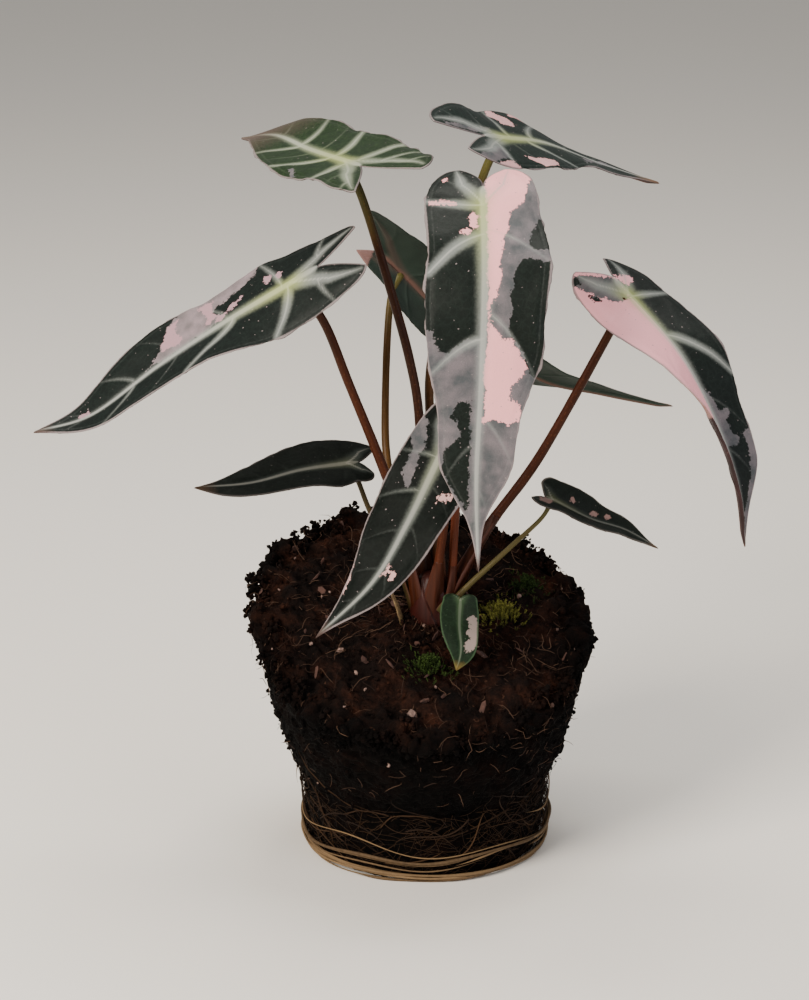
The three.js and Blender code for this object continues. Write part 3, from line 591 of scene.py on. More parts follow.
# Leaf skins: "ground" is the dark green in two shades, "vein" the pale lines, "joint" the yellow
# green where the stalk joins, "tip" what the last millimetres dry to. Under faces have two shades.
SKINS = {
    "left": {"ground": ("#0c110f", "#141b18"), "pink": "#a07f86", "grey": ("#625c5d", "#84767a")},
    "centre": {"ground": ("#0c110e", "#151c18")},
    "right": {"ground": ("#0c110f", "#141b18"), "pink": "#eba5ac"},
    "front": {"ground": ("#080b09", "#0e1310"), "vein": "#747a76", "joint": "#868c76", "pink": "#bf9793",
              "gloss": 0.04},
    "top_left": {"ground": ("#131e11", "#22331b"), "vein": "#929a87", "tip": "#57473f", "tip_length": 48},
    "top_right": {"ground": ("#0c1511", "#17231e"), "tip": "#6b4f38", "tip_length": 16, "pink": "#cc9c9c"},
    # The low left leaf lies in the shade of the leaves above it: its darker ground and its dark vein,
    # joint, margin and tip are painted shade over its own colours.
    "low_left": {"ground": ("#080b09", "#101411"), "vein": "#363b38", "joint": "#474a3c",
                 "margin": "#403d3b", "tip": "#34261b", "tip_length": 10, "rib": 0.4, "gloss": 0.05},
    "back": {"ground": ("#10160f", "#1c251d"), "tip": "#4a3a2c", "tip_length": 14},
    "low_right": {"ground": ("#0a0f0b", "#131914"), "vein": "#393f3a", "joint": "#565a40",
                  "pink": "#866a64", "margin": "#55504b", "tip": "#4c3828", "tip_length": 6, "rib": 0.35},
    "small": {"ground": ("#111c11", "#1b2b1b"), "vein": "#3a5236", "joint": "#48603c", "margin": "#425a3e",
              "pink": "#9a8a82", "tip": "#7c6836", "tip_length": 5, "rib": 0.4},
}
SKIN_DEFAULTS = {
    "vein": "#8d928e", "pink": "#f0a6a8", "grey": ("#474a4c", "#6a6366"), "margin": "#857a7a",
    "joint": "#a0aa66", "tip": "#44332b", "tip_length": 9, "rib": 0.6, "gloss": 0.12,
}
UNDERS = {"back": ("#1a211b", "#2c3a32"), "right": ("#1c1a18", "#3a2224")}


def upper_skin(name):
    """Upper face of a living leaf, grown as flat cells under a film of wax, which makes it satin
    rather than glossy. Its colour lies in clean-edged patches: near-black green, grey where air
    under the skin scatters the light, and pink where there is no green. Veins and margin are pale.
    The default IOR of 1.5 is near leaf wax's. The specular level is below the usual 0.5, at which
    the pale surroundings turned the darkest skin to grey."""
    skin = {**SKIN_DEFAULTS, **SKINS[name]}
    title = f"living leaf upper skin {name}"
    tree = new_tree(title)
    flat = add(tree, "Attribute", out="Vector", attribute_name="flat")
    field = {
        key: add(tree, "Attribute", out="Fac", attribute_name=key)
        for key in ("vein", "halo", "rib", "margin", "pink", "grey", "dark", "joint", "tip")
    }
    # Noise on the flattened leaf, in cells to the millimetre: clouding of 6 mm, patch edges that
    # wander by about a millimetre and are ragged at a quarter of one, skin cells drawn at 0.4 mm,
    # coarser than real so that they show, and pin-prick specks.
    cloud, broad, ragged, cells, specks = (
        add(tree, "TexNoise", {"Vector": flat, "Scale": scale, "Detail": detail, "Roughness": rough})
        for scale, detail, rough in ((0.16, 3, 0.5), (0.32, 2, 0.5), (1.1, 5, 0.65), (2.6, 3, 0.7),
                                     (0.85, 1, 0.5))
    )
    broad_off = add(tree, "Math", (broad, 3.2, -1.6), operation="MULTIPLY_ADD")
    edge_off = add(tree, "Math", (ragged, 3.3, broad_off), operation="MULTIPLY_ADD")
    masks = {}
    for key in ("grey", "pink", "dark"):
        moved = add(tree, "Math", (field[key], edge_off), operation="ADD")
        masks[key] = add(tree, "MapRange", (moved, 1.5, 1.8), interpolation_type="SMOOTHSTEP")
    # A net of the finest veins, in bent cells of about 2 mm, on the green alone.
    bend = add(tree, "TexNoise", {"Vector": flat, "Scale": 0.6, "Detail": 2.0}, out=1)
    bent = add(tree, "VectorMath", (bend, (2.5, 2.5, 0), flat), operation="MULTIPLY_ADD")
    net = add(tree, "TexVoronoi", {"Vector": bent, "Scale": 0.45}, feature="DISTANCE_TO_EDGE")
    grey_cloud = add(tree, "MapRange", (cloud, 0.35, 0.65))
    colours = {
        "green": add(tree, "Mix", (cloud, *skin["ground"])),
        "grey": add(tree, "Mix", (grey_cloud, *skin["grey"])),
        "pink": skin["pink"],
    }
    # Each colour is multiplied by ranges of the noise.
    for key, span in (
        ("green", (net, 0.12, 0.0, 1.0, 1.45)), ("green", (cells, 0.35, 0.75, 0.78, 1.25)),
        ("grey", (cells, 0.3, 0.8, 1.15, 0.8)), ("pink", (cells, 0.3, 0.8, 1.04, 0.93)),
    ):
        factor = add(tree, "MapRange", span)
        colours[key] = add(tree, "Mix", (1.0, colours[key], factor), blend_type="MULTIPLY")
    # Veins: a broad soft band with a fine crisp line along its middle.
    halo_off = add(tree, "Math", (ragged, 0.35, -0.17), operation="MULTIPLY_ADD")
    halo_in = add(tree, "Math", (field["halo"], halo_off), operation="ADD")
    margin_in = add(tree, "Math", (ragged, 0.5, field["margin"]), operation="MULTIPLY_ADD")
    tip_in = add(tree, "Math", (ragged, 0.5, field["tip"]), operation="MULTIPLY_ADD")
    halo, line, rib, margin = (
        add(tree, "MapRange", span, interpolation_type="SMOOTHSTEP")
        for span in (
            (halo_in, 0.15, 1.0, 0.0, 0.66), (field["vein"], 0.3, 0.9, 0.0, 0.55),
            (field["rib"], 0.25, 0.8, 0.0, skin["rib"]), (margin_in, 0.95, 0.45, 0.0, 0.85),
        )
    )
    not_pink = add(tree, "MapRange", (masks["pink"], 0.0, 1.0, 1.0, 0.25))
    halo_share = add(tree, "Math", (halo, not_pink), operation="MULTIPLY")
    speck = add(tree, "MapRange", (specks, 0.735, 0.755, 0.0, 0.75))
    tip = add(tree, "MapRange", (tip_in, 0.45, 1.0, 0.0, 0.85))
    vein_colour = add(tree, "Mix", (field["joint"], skin["vein"], skin["joint"]))
    light_vein = add(tree, "Mix", (0.25, vein_colour, "#d8d2c8"))
    base = colours["green"]
    for share, over in (
        (masks["grey"], colours["grey"]), (masks["pink"], colours["pink"]),
        (masks["dark"], colours["green"]),
        (speck, skin["margin"]), (halo_share, vein_colour), (line, light_vein), (rib, light_vein),
        (margin, skin["margin"]), (tip, skin["tip"]),
    ):
        base = add(tree, "Mix", (share, base, over))
    roughness = add(tree, "MapRange", (cells, 0.3, 0.7, 0.42, 0.56))
    fine = add(tree, "Bump", {"Height": cells, "Strength": 0.12, "Distance": 0.0003})
    soft = add(tree, "Bump", {"Height": cloud, "Strength": 0.25, "Distance": 0.0012, "Normal": fine})
    return finish_of(title, base, roughness, soft, **{"Specular IOR Level": skin["gloss"]})


def under_skin(name):
    """Under face of a living leaf, grown with hardly any wax, so that it is matt: green flushed
    maroon, with paler veins that stand out as ridges."""
    title = f"living leaf under skin {name}"
    tree = new_tree(title)
    flat = add(tree, "Attribute", out="Vector", attribute_name="flat")
    halo = add(tree, "Attribute", out="Fac", attribute_name="halo")
    rib = add(tree, "Attribute", out="Fac", attribute_name="rib")
    cloud = add(tree, "TexNoise", {"Vector": flat, "Scale": 0.14, "Detail": 3.0})
    cells = add(tree, "TexNoise", {"Vector": flat, "Scale": 2.2, "Detail": 3.0, "Roughness": 0.7})
    low, high = UNDERS.get(name, ("#24221d", "#3a2022"))
    base = add(tree, "Mix", (cloud, low, high))
    grain = add(tree, "MapRange", (cells, 0.35, 0.75, 0.85, 1.2))
    base = add(tree, "Mix", (1.0, base, grain), blend_type="MULTIPLY")
    # The pink sectors have no green behind them and show through.
    pink = add(tree, "Attribute", out="Fac", attribute_name="pink")
    wander = add(tree, "Math", (cells, 3.0, pink), operation="MULTIPLY_ADD")
    for span, over in (
        ((wander, 1.2, 1.9, 0.0, 0.8), "#94706a"), ((halo, 0.5, 1.0, 0.0, 0.4), "#54403a"),
        ((rib, 0.3, 0.9, 0.0, 0.7), "#6a4a40"),
    ):
        share = add(tree, "MapRange", span)
        base = add(tree, "Mix", (share, base, over))
    fine = add(tree, "Bump", {"Height": cells, "Strength": 0.15, "Distance": 0.0003})
    return finish_of(title, base, 0.6, fine, **{"Specular IOR Level": 0.2})


def stalk_skin(name):
    """Leaf stalk, grown round and taut, so that a soft shine runs along it. The skin is streaked
    and finely flecked along its length."""
    foot, middle, top = STALKS[name]["colours"]
    title = f"living stalk skin {name}"
    tree = new_tree(title)
    rise = add(tree, "Attribute", out="Fac", attribute_name="rise")
    flat = add(tree, "Attribute", out="Vector", attribute_name="flat")
    ramp = add(tree, "ValToRGB", {"Fac": rise}, ramp=[(0, foot), (0.3, middle), (0.8, middle), (1, top)])
    shaded = add(tree, "Mix", (1.0, ramp, (STALK_SHADE, STALK_SHADE, STALK_SHADE, 1)),
                 blend_type="MULTIPLY")
    # Streaks 12 mm long and a fifth of a millimetre wide run up the stalk, with flecks between.
    along = add(tree, "VectorMath", (flat, (1.2, 0.06, 1)), operation="MULTIPLY")
    streaks = add(tree, "TexNoise", {"Vector": along, "Scale": 1.6, "Detail": 4.0, "Roughness": 0.6})
    streak = add(tree, "MapRange", (streaks, 0.3, 0.7, 0.72, 1.3))
    base = add(tree, "Mix", (1.0, shaded, streak), blend_type="MULTIPLY")
    flecks = add(tree, "TexNoise", {"Vector": flat, "Scale": 1.4, "Detail": 2.0})
    fleck = add(tree, "MapRange", (flecks, 0.6, 0.72, 0.0, 0.2))
    base = add(tree, "Mix", (fleck, base, "#8a5636"))
    bump = add(tree, "Bump", {"Height": streaks, "Strength": 0.2, "Distance": 0.0004})
    return finish_of(title, base, 0.4, bump, **{"Specular IOR Level": 0.12})


def strand_skin(title, low, high):
    """Fibres, roots or moss, grown as single threads that have dried at the surface, so that they
    are dull. Each has its own shade between two, with a mottle of 1.2 mm."""
    tree = new_tree(title)
    shade = add(tree, "Attribute", out="Fac", attribute_name="shade")
    place = add(tree, "TexCoord", out="Object")
    mottle = add(tree, "TexNoise", {"Vector": place, "Scale": 800.0, "Detail": 3.0})
    share = add(tree, "Math", (mottle, 0.6, -0.3), operation="MULTIPLY_ADD")
    share = add(tree, "Math", (shade, share), operation="ADD", use_clamp=True)
    base = add(tree, "Mix", (share, low, high))
    return finish_of(title, base, 0.75, **{"Specular IOR Level": 0.15})


def sheath_skin():
    """Leaf bases, grown as sheaths that clasp each other: taut, reddish, slightly glossy skin with
    paler veins running up it, drying to a papery line at each sheath's thin edge."""
    title = "living sheath skin"
    tree = new_tree(title)
    # The tint carries the crown's dark red with painted shade, deepest at the foot.
    tint = add(tree, "Attribute", out="Vector", attribute_name="tint")
    rim = add(tree, "Attribute", out="Fac", attribute_name="rim")
    place = add(tree, "TexCoord", out="Object")
    along = add(tree, "VectorMath", (place, (1, 1, 0.06)), operation="MULTIPLY")
    streaks = add(tree, "TexNoise", {"Vector": along, "Scale": 900.0, "Detail": 4.0, "Roughness": 0.6})
    streak = add(tree, "MapRange", (streaks, 0.3, 0.7, 0.7, 1.35))
    base = add(tree, "Mix", (1.0, tint, streak), blend_type="MULTIPLY")
    pale = add(tree, "MapRange", (rim, 0.3, 0.9, 0.0, 0.6))
    base = add(tree, "Mix", (pale, base, "#4c2c24"))
    bump = add(tree, "Bump", {"Height": streaks, "Strength": 0.25, "Distance": 0.0005})
    return finish_of(title, base, 0.42, bump, **{"Specular IOR Level": 0.15})


def peat_finish(title):
    """Damp sphagnum peat, pressed and held by roots in a pot and crumbled where it is free. It is
    fibrous and almost black, gives back hardly any light, has no shine, and dries reddish brown.
    Patches are 11 mm wide, and grains are drawn at 1.4 mm. The wall is darkened by painted shade."""
    tree = new_tree(title)
    place = add(tree, "TexCoord", out="Object")
    patches = add(tree, "TexNoise", {"Vector": place, "Scale": 90.0, "Detail": 4.0, "Roughness": 0.6})
    grains = add(tree, "TexNoise", {"Vector": place, "Scale": 700.0, "Detail": 6.0, "Roughness": 0.75})
    tones = [(0.3, "#0b0706"), (0.46, "#170e0b"), (0.58, "#2a1811"), (0.75, "#47291c")]
    base = add(tree, "ValToRGB", {"Fac": patches}, ramp=tones)
    grain = add(tree, "MapRange", (grains, 0.3, 0.75, 0.45, 1.6))
    base = add(tree, "Mix", (1.0, base, grain), blend_type="MULTIPLY")
    flecks = add(tree, "TexNoise", {"Vector": place, "Scale": 420.0, "Detail": 2.0})
    fleck = add(tree, "MapRange", (flecks, 0.68, 0.74, 0.0, 0.6))
    base = add(tree, "Mix", (fleck, base, "#54392b"))
    # The wall is painted darker than the top, as painted shade for the side that the light from above
    # misses.
    wall = add(tree, "Attribute", out="Fac", attribute_name="wall")
    wall_shade = add(tree, "MapRange", (wall, 0.0, 1.0, 0.9, 0.1))
    base = add(tree, "Mix", (1.0, base, wall_shade), blend_type="MULTIPLY")
    coarse = add(tree, "Bump", {"Height": patches, "Strength": 0.6, "Distance": 0.003})
    fine = add(tree, "Bump", {"Height": grains, "Strength": 0.9, "Distance": 0.0015, "Normal": coarse})
    return finish_of(title, base, 0.95, fine, **{"Specular IOR Level": 0.08})


def plain_grain(title, low, high, size, roughness):
    """Chipped, expanded or dried stuff whose broken or shrunken face scatters light, so that it is
    dull. It has two shades, mottled at the size given in millimetres."""
    tree = new_tree(title)
    place = add(tree, "TexCoord", out="Object")
    grain = {"Vector": place, "Scale": 1000.0 / size, "Detail": 5.0, "Roughness": 0.65}
    mottle = add(tree, "TexNoise", grain)
    share = add(tree, "MapRange", (mottle, 0.3, 0.7))
    base = add(tree, "Mix", (share, low, high))
    bump = add(tree, "Bump", {"Height": mottle, "Strength": 0.4, "Distance": 0.0004})
    return finish_of(title, base, roughness, bump)


# Leaf blades
class Blade:
    """The middle surface of a leaf. At arc length y along the midrib, and a reach q out from it on
    one side, a point lies across by the arc that the cross-section bends in and up by the same arc
    and the wave: across = w/c (sin(f + c k) - sin f), lift = w/c (cos f - cos(f + c k)) + wave,
    where w is the half-width, k = q/w, f the fold and c the curl. Behind the joint the line runs
    straight back from it, and the lobes' outlines are rounded by a superellipse."""

    def __init__(self, name):
        given = {"fold": [FLAT, FLAT], "curl": [FLAT, FLAT], "lobe_droop": 0, "notch_power": 1.3,
                 "lobe_power": 2}
        given.update(LEAVES[name])
        self.name = name
        for key in ("faces", "half", "lobe", "lobe_end", "notch", "fold", "curl", "wave", "lobe_droop",
                    "notch_power", "lobe_power"):
            setattr(self, key, given[key])
        self.rib = Path(given["midrib"])
        self.length = self.rib.length
        self.back = max(self.lobe)
        self.widest = max(max(side) for side in self.half)
        self.laterals = given.get("laterals") or [self.ruled_laterals(side) for side in (0, 1)]
        self.base = given.get("base", ["dark", "dark"])
        self.patches = given.get("patches", {})

    def ruled_laterals(self, side):
        """Side veins at even shares of the blade, each meeting the margin a tenth further on."""
        ahead = [(s * self.length, (s + 0.1) * self.length) for s in (0.03, 0.2, 0.38, 0.56, 0.74)]
        return [(-0.45 * self.lobe[side], -0.62 * self.lobe[side]), *ahead]

    def frame(self, y):
        """Centre, up and right at arc length y: up is the way the face looks, made square to the
        midrib, and right is square to both."""
        along = np.clip(y, 0, self.length)
        ahead = self.rib.ahead(along)
        azimuth, elevation = np.radians(self.faces).T
        looks = np.stack([np.sin(azimuth) * np.cos(elevation), -np.cos(azimuth) * np.cos(elevation),
                          np.sin(elevation)], -1)
        steps = np.linspace(0, 1, len(looks))
        up = np.stack([np.interp(along / self.length, steps, looks[:, k]) for k in range(3)], -1)
        up = unit(up - (up * ahead).sum(-1, keepdims=True) * ahead)
        right = np.cross(up, ahead)
        behind = np.minimum(y, 0)[..., None]
        centre = self.rib.at(along) + ahead * behind - up * self.lobe_droop * (behind / self.back) ** 2
        return centre, up, right

    def outer(self, y, side):
        """Reach of the outer edge: the half-width curve ahead of the joint, behind it a rounding
        (1 - u^p)^(1/p) from the first half-width to the lobe's end."""
        u = np.clip(-y / self.lobe[side], 0, 1)
        lobe = mix(self.lobe_end[side], self.half[side][0],
                   (1 - u**self.lobe_power) ** (1 / self.lobe_power))
        return np.where(y >= 0, np.maximum(on_curve(self.half[side], y / self.length), 0), lobe)

    def inner(self, y, side):
        """Reach of the inner edge: nothing as far back as the notch, then a power curve outwards."""
        opened = np.clip((-y - self.notch) / (self.lobe[side] - self.notch), 0, 1)
        return self.lobe_end[side] * opened**self.notch_power

    def point(self, y, share, side):
        """Place and normal of the middle surface, and the reach there."""
        sign = -1 if side == 0 else 1
        outer, inner = self.outer(y, side), self.inner(y, side)
        worn = 1 + 0.03 * layered(np.stack([y, y * 0 + 9 * side, y * 0], -1), 6, 3 + len(self.name))
        reach = mix(inner, outer, share) * mix(1, worn, share**2)
        station = np.where(y < 0, 0.25 * (1 + y / self.back), 0.25 + 0.75 * y / self.length)
        fold = np.radians(np.interp(station, np.linspace(0, 1, 5), self.fold[side]))
        curl = np.radians(np.interp(station, np.linspace(0, 1, 5), self.curl[side]))
        curl = np.where(np.abs(curl) < 1e-3, 1e-3, curl)
        bent = fold + curl * np.divide(reach, outer, out=np.zeros_like(reach), where=outer > 1e-9)
        height, count = self.wave
        wave = np.sin(2 * np.pi * (count * y / self.length + WAVE_PHASES[side]))
        across = outer / curl * (np.sin(bent) - np.sin(fold))
        out = reach / max(self.half[side])
        lift = outer / curl * (np.cos(fold) - np.cos(bent)) + height * out**2 * wave
        ripple = lattice(np.stack([y, sign * reach, reach * 0], -1), 7, 31 + len(self.name))
        lift = lift + ripple * self.widest / 30 * np.clip(out, 0, 1.2) ** 2
        centre, up, right = self.frame(y)
        place = centre + (sign * across)[..., None] * right + lift[..., None] * up
        normal = up * np.cos(bent)[..., None] - sign * right * np.sin(bent)[..., None]
        # Over the midrib both halves share one normal, so that they meet without a crack.
        normal = unit(mix(up, normal, smooth(0, 2, reach)[..., None]))
        return place, normal, reach

    def rows(self, side, step):
        """Arc lengths of the grid's rows: dense where the lobe rounds off, then every step."""
        lobe = self.lobe[side] - self.notch
        count = max(8, round(1.3 * lobe / step))
        behind = -self.notch - lobe * np.cos(np.pi / 2 * np.arange(count) / count)
        to_joint = np.linspace(-self.notch, 0, max(3, round(self.notch / step)), endpoint=False)
        return np.concatenate([behind, to_joint, np.linspace(0, self.length, round(self.length / step))])

    def lobe_vein(self, y, side):
        """Reach of the vein that runs from the joint back into a lobe: a third of the way between
        the lobe's edges near the joint, half way at its end."""
        share = 0.3 + 0.2 * np.clip(-y / self.lobe[side], 0, 1)
        bent = np.clip(-y / (0.5 * self.lobe[side]), 0, 1)
        return mix(self.inner(y, side), self.outer(y, side), share) * bent

    def vein_lines(self, side):
        """Each vein of a half as points (y, q) and its width at both ends. A side vein's y goes as
        the power 1.6 of its share of the reach, so that it bends towards the tip near the margin."""
        sign = -1 if side == 0 else 1
        share = np.linspace(0, 1, 20)
        ends = -0.93 * self.lobe[side] * share
        lines = [(np.stack([ends, sign * self.lobe_vein(ends, side)], -1), 0.9, 0.3)]
        for start, end, *wide in self.laterals[side]:
            first = float(self.lobe_vein(np.array(start, float), side)) if start < 0 else 0.0
            last = 0.95 * float(self.outer(np.array(end, float), side))
            y = start + (end - start) * share**1.6
            width = wide[0] if wide else 0.26
            lines.append((np.stack([y, sign * mix(first, last, share)], -1), width, 0.6 * width))
        return lines


def distance_to_line(points, line):
    """Distance from flat points to a broken line, and how far along it the nearest place is."""
    a, b = line[:-1], line[1:]
    step = b - a
    t = np.einsum("pik,ik->pi", points[:, None] - a, step) / np.maximum((step**2).sum(-1), 1e-12)
    t = np.clip(t, 0, 1)
    gap = np.linalg.norm(points[:, None] - (a + t[..., None] * step), axis=-1)
    nearest = gap.argmin(1)
    rows = np.arange(len(points))
    return gap[rows, nearest], (nearest + t[rows, nearest]) / len(a)


def inside(points, outline):
    """Signed distance to a closed outline, positive inside: the nearest edge's distance, with its
    sign from how often a ray along y crosses the outline."""
    outline = np.asarray(outline, float)
    gap, _ = distance_to_line(points, np.vstack([outline, outline[:1]]))
    a, b = outline, np.roll(outline, -1, axis=0)
    crosses = (a[:, 1] > points[:, None, 1]) != (b[:, 1] > points[:, None, 1])
    slope = (b[:, 0] - a[:, 0]) / np.where(b[:, 1] == a[:, 1], 1e-9, b[:, 1] - a[:, 1])
    ahead = points[:, None, 0] < a[:, 0] + (points[:, None, 1] - a[:, 1]) * slope
    return np.where((crosses & ahead).sum(1) % 2 == 1, gap, -gap)


def leaf_fields(blade, flat, side, outline):
    """What a leaf's colour and relief follow: how near each flat point is to the veins, the margin,
    the joint and the tip, and how far inside each kind of patch it is."""
    y, q = flat.T
    vein, halo = np.zeros(len(flat)), np.zeros(len(flat))
    scale = blade.widest / 18
    for line, first, last in blade.vein_lines(side):
        gap, along = distance_to_line(flat, line)
        width = mix(first, last, along) * (0.45 + 0.55 * scale)
        strength = np.clip(width / 0.55, 0.25, 1)
        vein = np.maximum(vein, strength * np.exp(-((gap / (0.36 + 0.2 * width)) ** 2)))
        halo = np.maximum(halo, strength * np.exp(-((gap / (4.0 * width)) ** 2)))
    toward_tip = np.clip(y / blade.length, 0, 1)
    rib_width = mix(1.4, 0.4, toward_tip) * scale**0.7 * smooth(-blade.notch - 1, -blade.notch + 4, y)
    rib = np.exp(-((q / np.maximum(rib_width, 0.05)) ** 2)) * (y > -blade.notch)
    band = mix(1, 0.6, toward_tip) * np.exp(-((q / np.maximum(2.4 * rib_width, 0.1)) ** 2))
    halo = np.maximum(halo, band * (y > -blade.notch))
    margin, _ = distance_to_line(flat, outline)
    # The side veins run into one that follows the margin 1.8 mm inside it.
    collecting = 0.3 * min(scale, 1) * np.exp(-(((margin - 1.8 * scale) / 0.55) ** 2))
    halo = np.maximum(halo, collecting)
    fields = {"vein": vein, "halo": halo, "rib": rib, "margin": margin}
    for kind in ("pink", "grey", "dark"):
        found = [inside(flat, patch) for patch in blade.patches.get(kind, [])]
        if blade.base[side] == kind and kind != "dark":
            found.append(np.full(len(flat), 8.0))
        fields[kind] = np.maximum.reduce(found) if found else np.full(len(flat), -8.0)
    fields["joint"] = np.exp(-((np.hypot(y / mix(1.2, 4.5, y > 0), q) / (4.5 * scale)) ** 2))
    fields["pink"] = np.minimum(fields["pink"], -fields["dark"])
    if blade.base[side] == "pink":
        fields["pink"] = np.minimum(fields["pink"], -fields["grey"])
        fields["grey"] = fields["grey"] + 1.5
    tip_length = {**SKIN_DEFAULTS, **SKINS[blade.name]}["tip_length"]
    fields["tip"] = np.clip(1 - (blade.length - y) / tip_length, 0, 1)
    return fields


def make_blade(name):
    """Both faces of a leaf on one grid. Each face stands off the middle surface by half the
    thickness, which falls to nothing in a quarter circle at the edge. The upper face bulges between
    the veins and has a low rib; the under face carries the veins as ridges."""
    blade = Blade(name)
    step, thickness = BLADE["grid"], BLADE["thickness"]
    columns = max(10, round(blade.widest / step))
    share = 1 - (1 - np.linspace(0, 1, columns)) ** 1.25
    all_points, all_faces, all_fields, under = [], [], [], []
    start = 0
    for side in (0, 1):
        sign = -1 if side == 0 else 1
        rows = blade.rows(side, step)
        y, s = np.meshgrid(rows, share, indexing="ij")
        middle, normal, reach = blade.point(y.ravel(), s.ravel(), side)
        flat = np.stack([y.ravel(), sign * reach], -1)
        edge_rows = rows[rows <= -blade.notch]
        edge = np.vstack([
            np.stack([rows, sign * blade.outer(rows, side)], -1)[::-1],
            np.stack([edge_rows, sign * blade.inner(edge_rows, side)], -1),
        ])
        fields = leaf_fields(blade, flat, side, edge)
        # On the midrib the gap is one and the same for both halves, and on every edge it is nothing.
        to_ends = np.minimum(y.ravel() + blade.notch, 0.2 * (blade.length - y.ravel()))
        gap = np.where(s.ravel() == 0, np.maximum(to_ends, 0), np.maximum(fields["margin"], 0.02))
        gap[(s.ravel() == 1) | (y.ravel() == rows[0]) | (y.ravel() == rows[-1])] = 0
        rim = np.sqrt(1 - (1 - np.clip(gap / 0.5, 0, 1)) ** 2)
        off_rib = smooth(0, 1.2, reach)
        vein = fields["vein"] * off_rib
        quilt = 0.35 * (1 - fields["halo"]) * smooth(0, 4, gap) * off_rib
        ridges = 0.55 * vein + 0.9 * fields["rib"] * smooth(0, 6, blade.length - y.ravel())
        upper = rim * (thickness / 2 + 0.12 * vein + 0.3 * fields["rib"]) + quilt
        lower = rim * (thickness / 2 + ridges) - quilt
        quads = grid_faces(len(rows), columns)
        faces = np.vstack([quads[:, [0, 1, 2]], quads[:, [0, 2, 3]]])
        if side == 0:
            faces = faces[:, ::-1]
        fields["flat"] = np.stack([y.ravel(), sign * reach, np.zeros(len(flat))], -1)
        for offset, turned in ((upper, False), (-lower, True)):
            all_points.append(middle + normal * offset[:, None])
            all_faces.append((faces if turned else faces[:, ::-1]) + start)
            all_fields.append(fields)
            under.append(np.full(len(faces), int(turned)))
            start += len(middle)
    fields = {key: np.concatenate([part[key] for part in all_fields]) for key in all_fields[0]}
    points, faces, fields, kept = welded(np.vstack(all_points), np.vstack(all_faces), fields)
    skins = [upper_skin(name), under_skin(name)]
    make_piece(f"leaf_{name}", points, faces, skins, [f"blade_{name}"],
               fields, np.concatenate(under)[kept])


# Stalks and crown
def stalk_path(name):
    """The stalk's middle line, from inside the crown to the joint with the blade."""
    return Path([*STALKS[name]["route"], LEAVES[name]["midrib"][0]])


def stalk_radius(name, path, along):
    """Radius at an arc length: one taper up the sheath and another from there to the joint."""
    foot, shoulder, joint = STALKS[name]["radius"]
    sheath = STALKS[name]["sheath"]
    upper = mix(shoulder, joint, np.clip((along - sheath) / (path.length - sheath), 0, 1))
    return np.where(along < sheath, mix(foot, shoulder, along / sheath), upper)


def make_stalk(name):
    """A round rod from the end of the sheath to the blade, which swells a little where it joins."""
    path = stalk_path(name)
    sheath = STALKS[name]["sheath"]
    steps = max(30, round((path.length - sheath) / 1.2))
    along = np.linspace(sheath - 1, path.length, steps)
    radius = stalk_radius(name, path, along) * (1 + 0.3 * smooth(5, 0, path.length - along))
    radius *= 1 + 0.03 * lattice(np.stack([along, along * 0, along * 0], -1), 9, 7)
    sides = 20
    points, faces = rods(path.at(along)[None], radius[None], sides, (0, 1, 0))
    turn = np.tile(2 * np.pi * np.arange(sides) / sides, steps)
    run = np.repeat(along, sides)
    fields = {
        "rise": run / path.length,
        "flat": np.stack([2 * np.cos(turn), run, 2 * np.sin(turn)], -1),
    }
    make_piece(f"petiole_{name}", points, faces, [stalk_skin(name)], [f"stalk_{name}"], fields)


# Ball of peat
def crumbs(x, y, z):
    """The lumpy field of the solid: products of sines whose phases are themselves bent by sines."""
    across = np.sin(0.43 * x + 1.3 * np.sin(0.21 * y) + 0.5)
    up = np.sin(0.39 * y + 1.1 * np.sin(0.25 * z) + 0.33 * z)
    return across * up + 0.5 * np.sin(0.9 * x + 0.7 * y + 1.1 * z)


def top_height(x, y):
    """Height of the peat's top: a plane sloping up backwards and leftwards, a low mound round the
    crown, a rim that lifts except in front where it has fallen away, and the lumps."""
    from_axis = np.hypot(x, y)
    out = from_axis / BALL["rim_radius"]
    front = np.clip((-y - 10) / 35, 0, 1)
    slope = BALL["centre_height"] + BALL["backward_rise"] * y - BALL["leftward_rise"] * x
    mound = BALL["mound_height"] * np.exp(-((from_axis / BALL["mound_radius"]) ** 2))
    rim = (BALL["rim_lift"] - BALL["front_drop"] * front) * out**2.5
    return slope + mound + rim + BALL["crumb_on_top"] * crumbs(x, y, 0) * np.clip(3 * out - 0.5, 0, 1)


def ball_point(angle, along):
    """A point of the solid's surface: along climbs the foot, then the side, and from the rim to 1
    it crosses the top to the middle."""
    foot_height, foot_radius = np.array(FOOT, float).T
    share, radius = np.array([(0, FOOT[-1][1]), *SIDE], float).T
    rim_x, rim_y = BALL["rim_radius"] * np.cos(angle), BALL["rim_radius"] * np.sin(angle)
    rim_z = top_height(rim_x, rim_y)
    foot = np.clip(along / FOOT_ENDS, 0, 1) * foot_height[-1]
    side = np.clip((along - FOOT_ENDS) / SIDE_RUN, 0, 1)
    top = np.clip((1 - along) / TOP_RUN, 0, 1)
    z = np.where(along < FOOT_ENDS, foot, mix(foot_height[-1], rim_z, side))
    r = np.where(along < FOOT_ENDS, np.interp(foot, foot_height, foot_radius),
                 np.interp(side, share, radius))
    r = r + BALL["crumb_on_side"] * np.sqrt(side) * crumbs(rim_x, rim_y, z) * (along < RIM_AT)
    x, y = r * np.cos(angle), r * np.sin(angle)
    on_top = along >= RIM_AT
    x = np.where(on_top, top * rim_x, x) - BALL["lean_left"] * np.where(on_top, top, side)
    y = np.where(on_top, top * rim_y, y)
    z = np.where(on_top, top_height(top * rim_x, top * rim_y), z)
    return np.stack([x, y, z], -1)


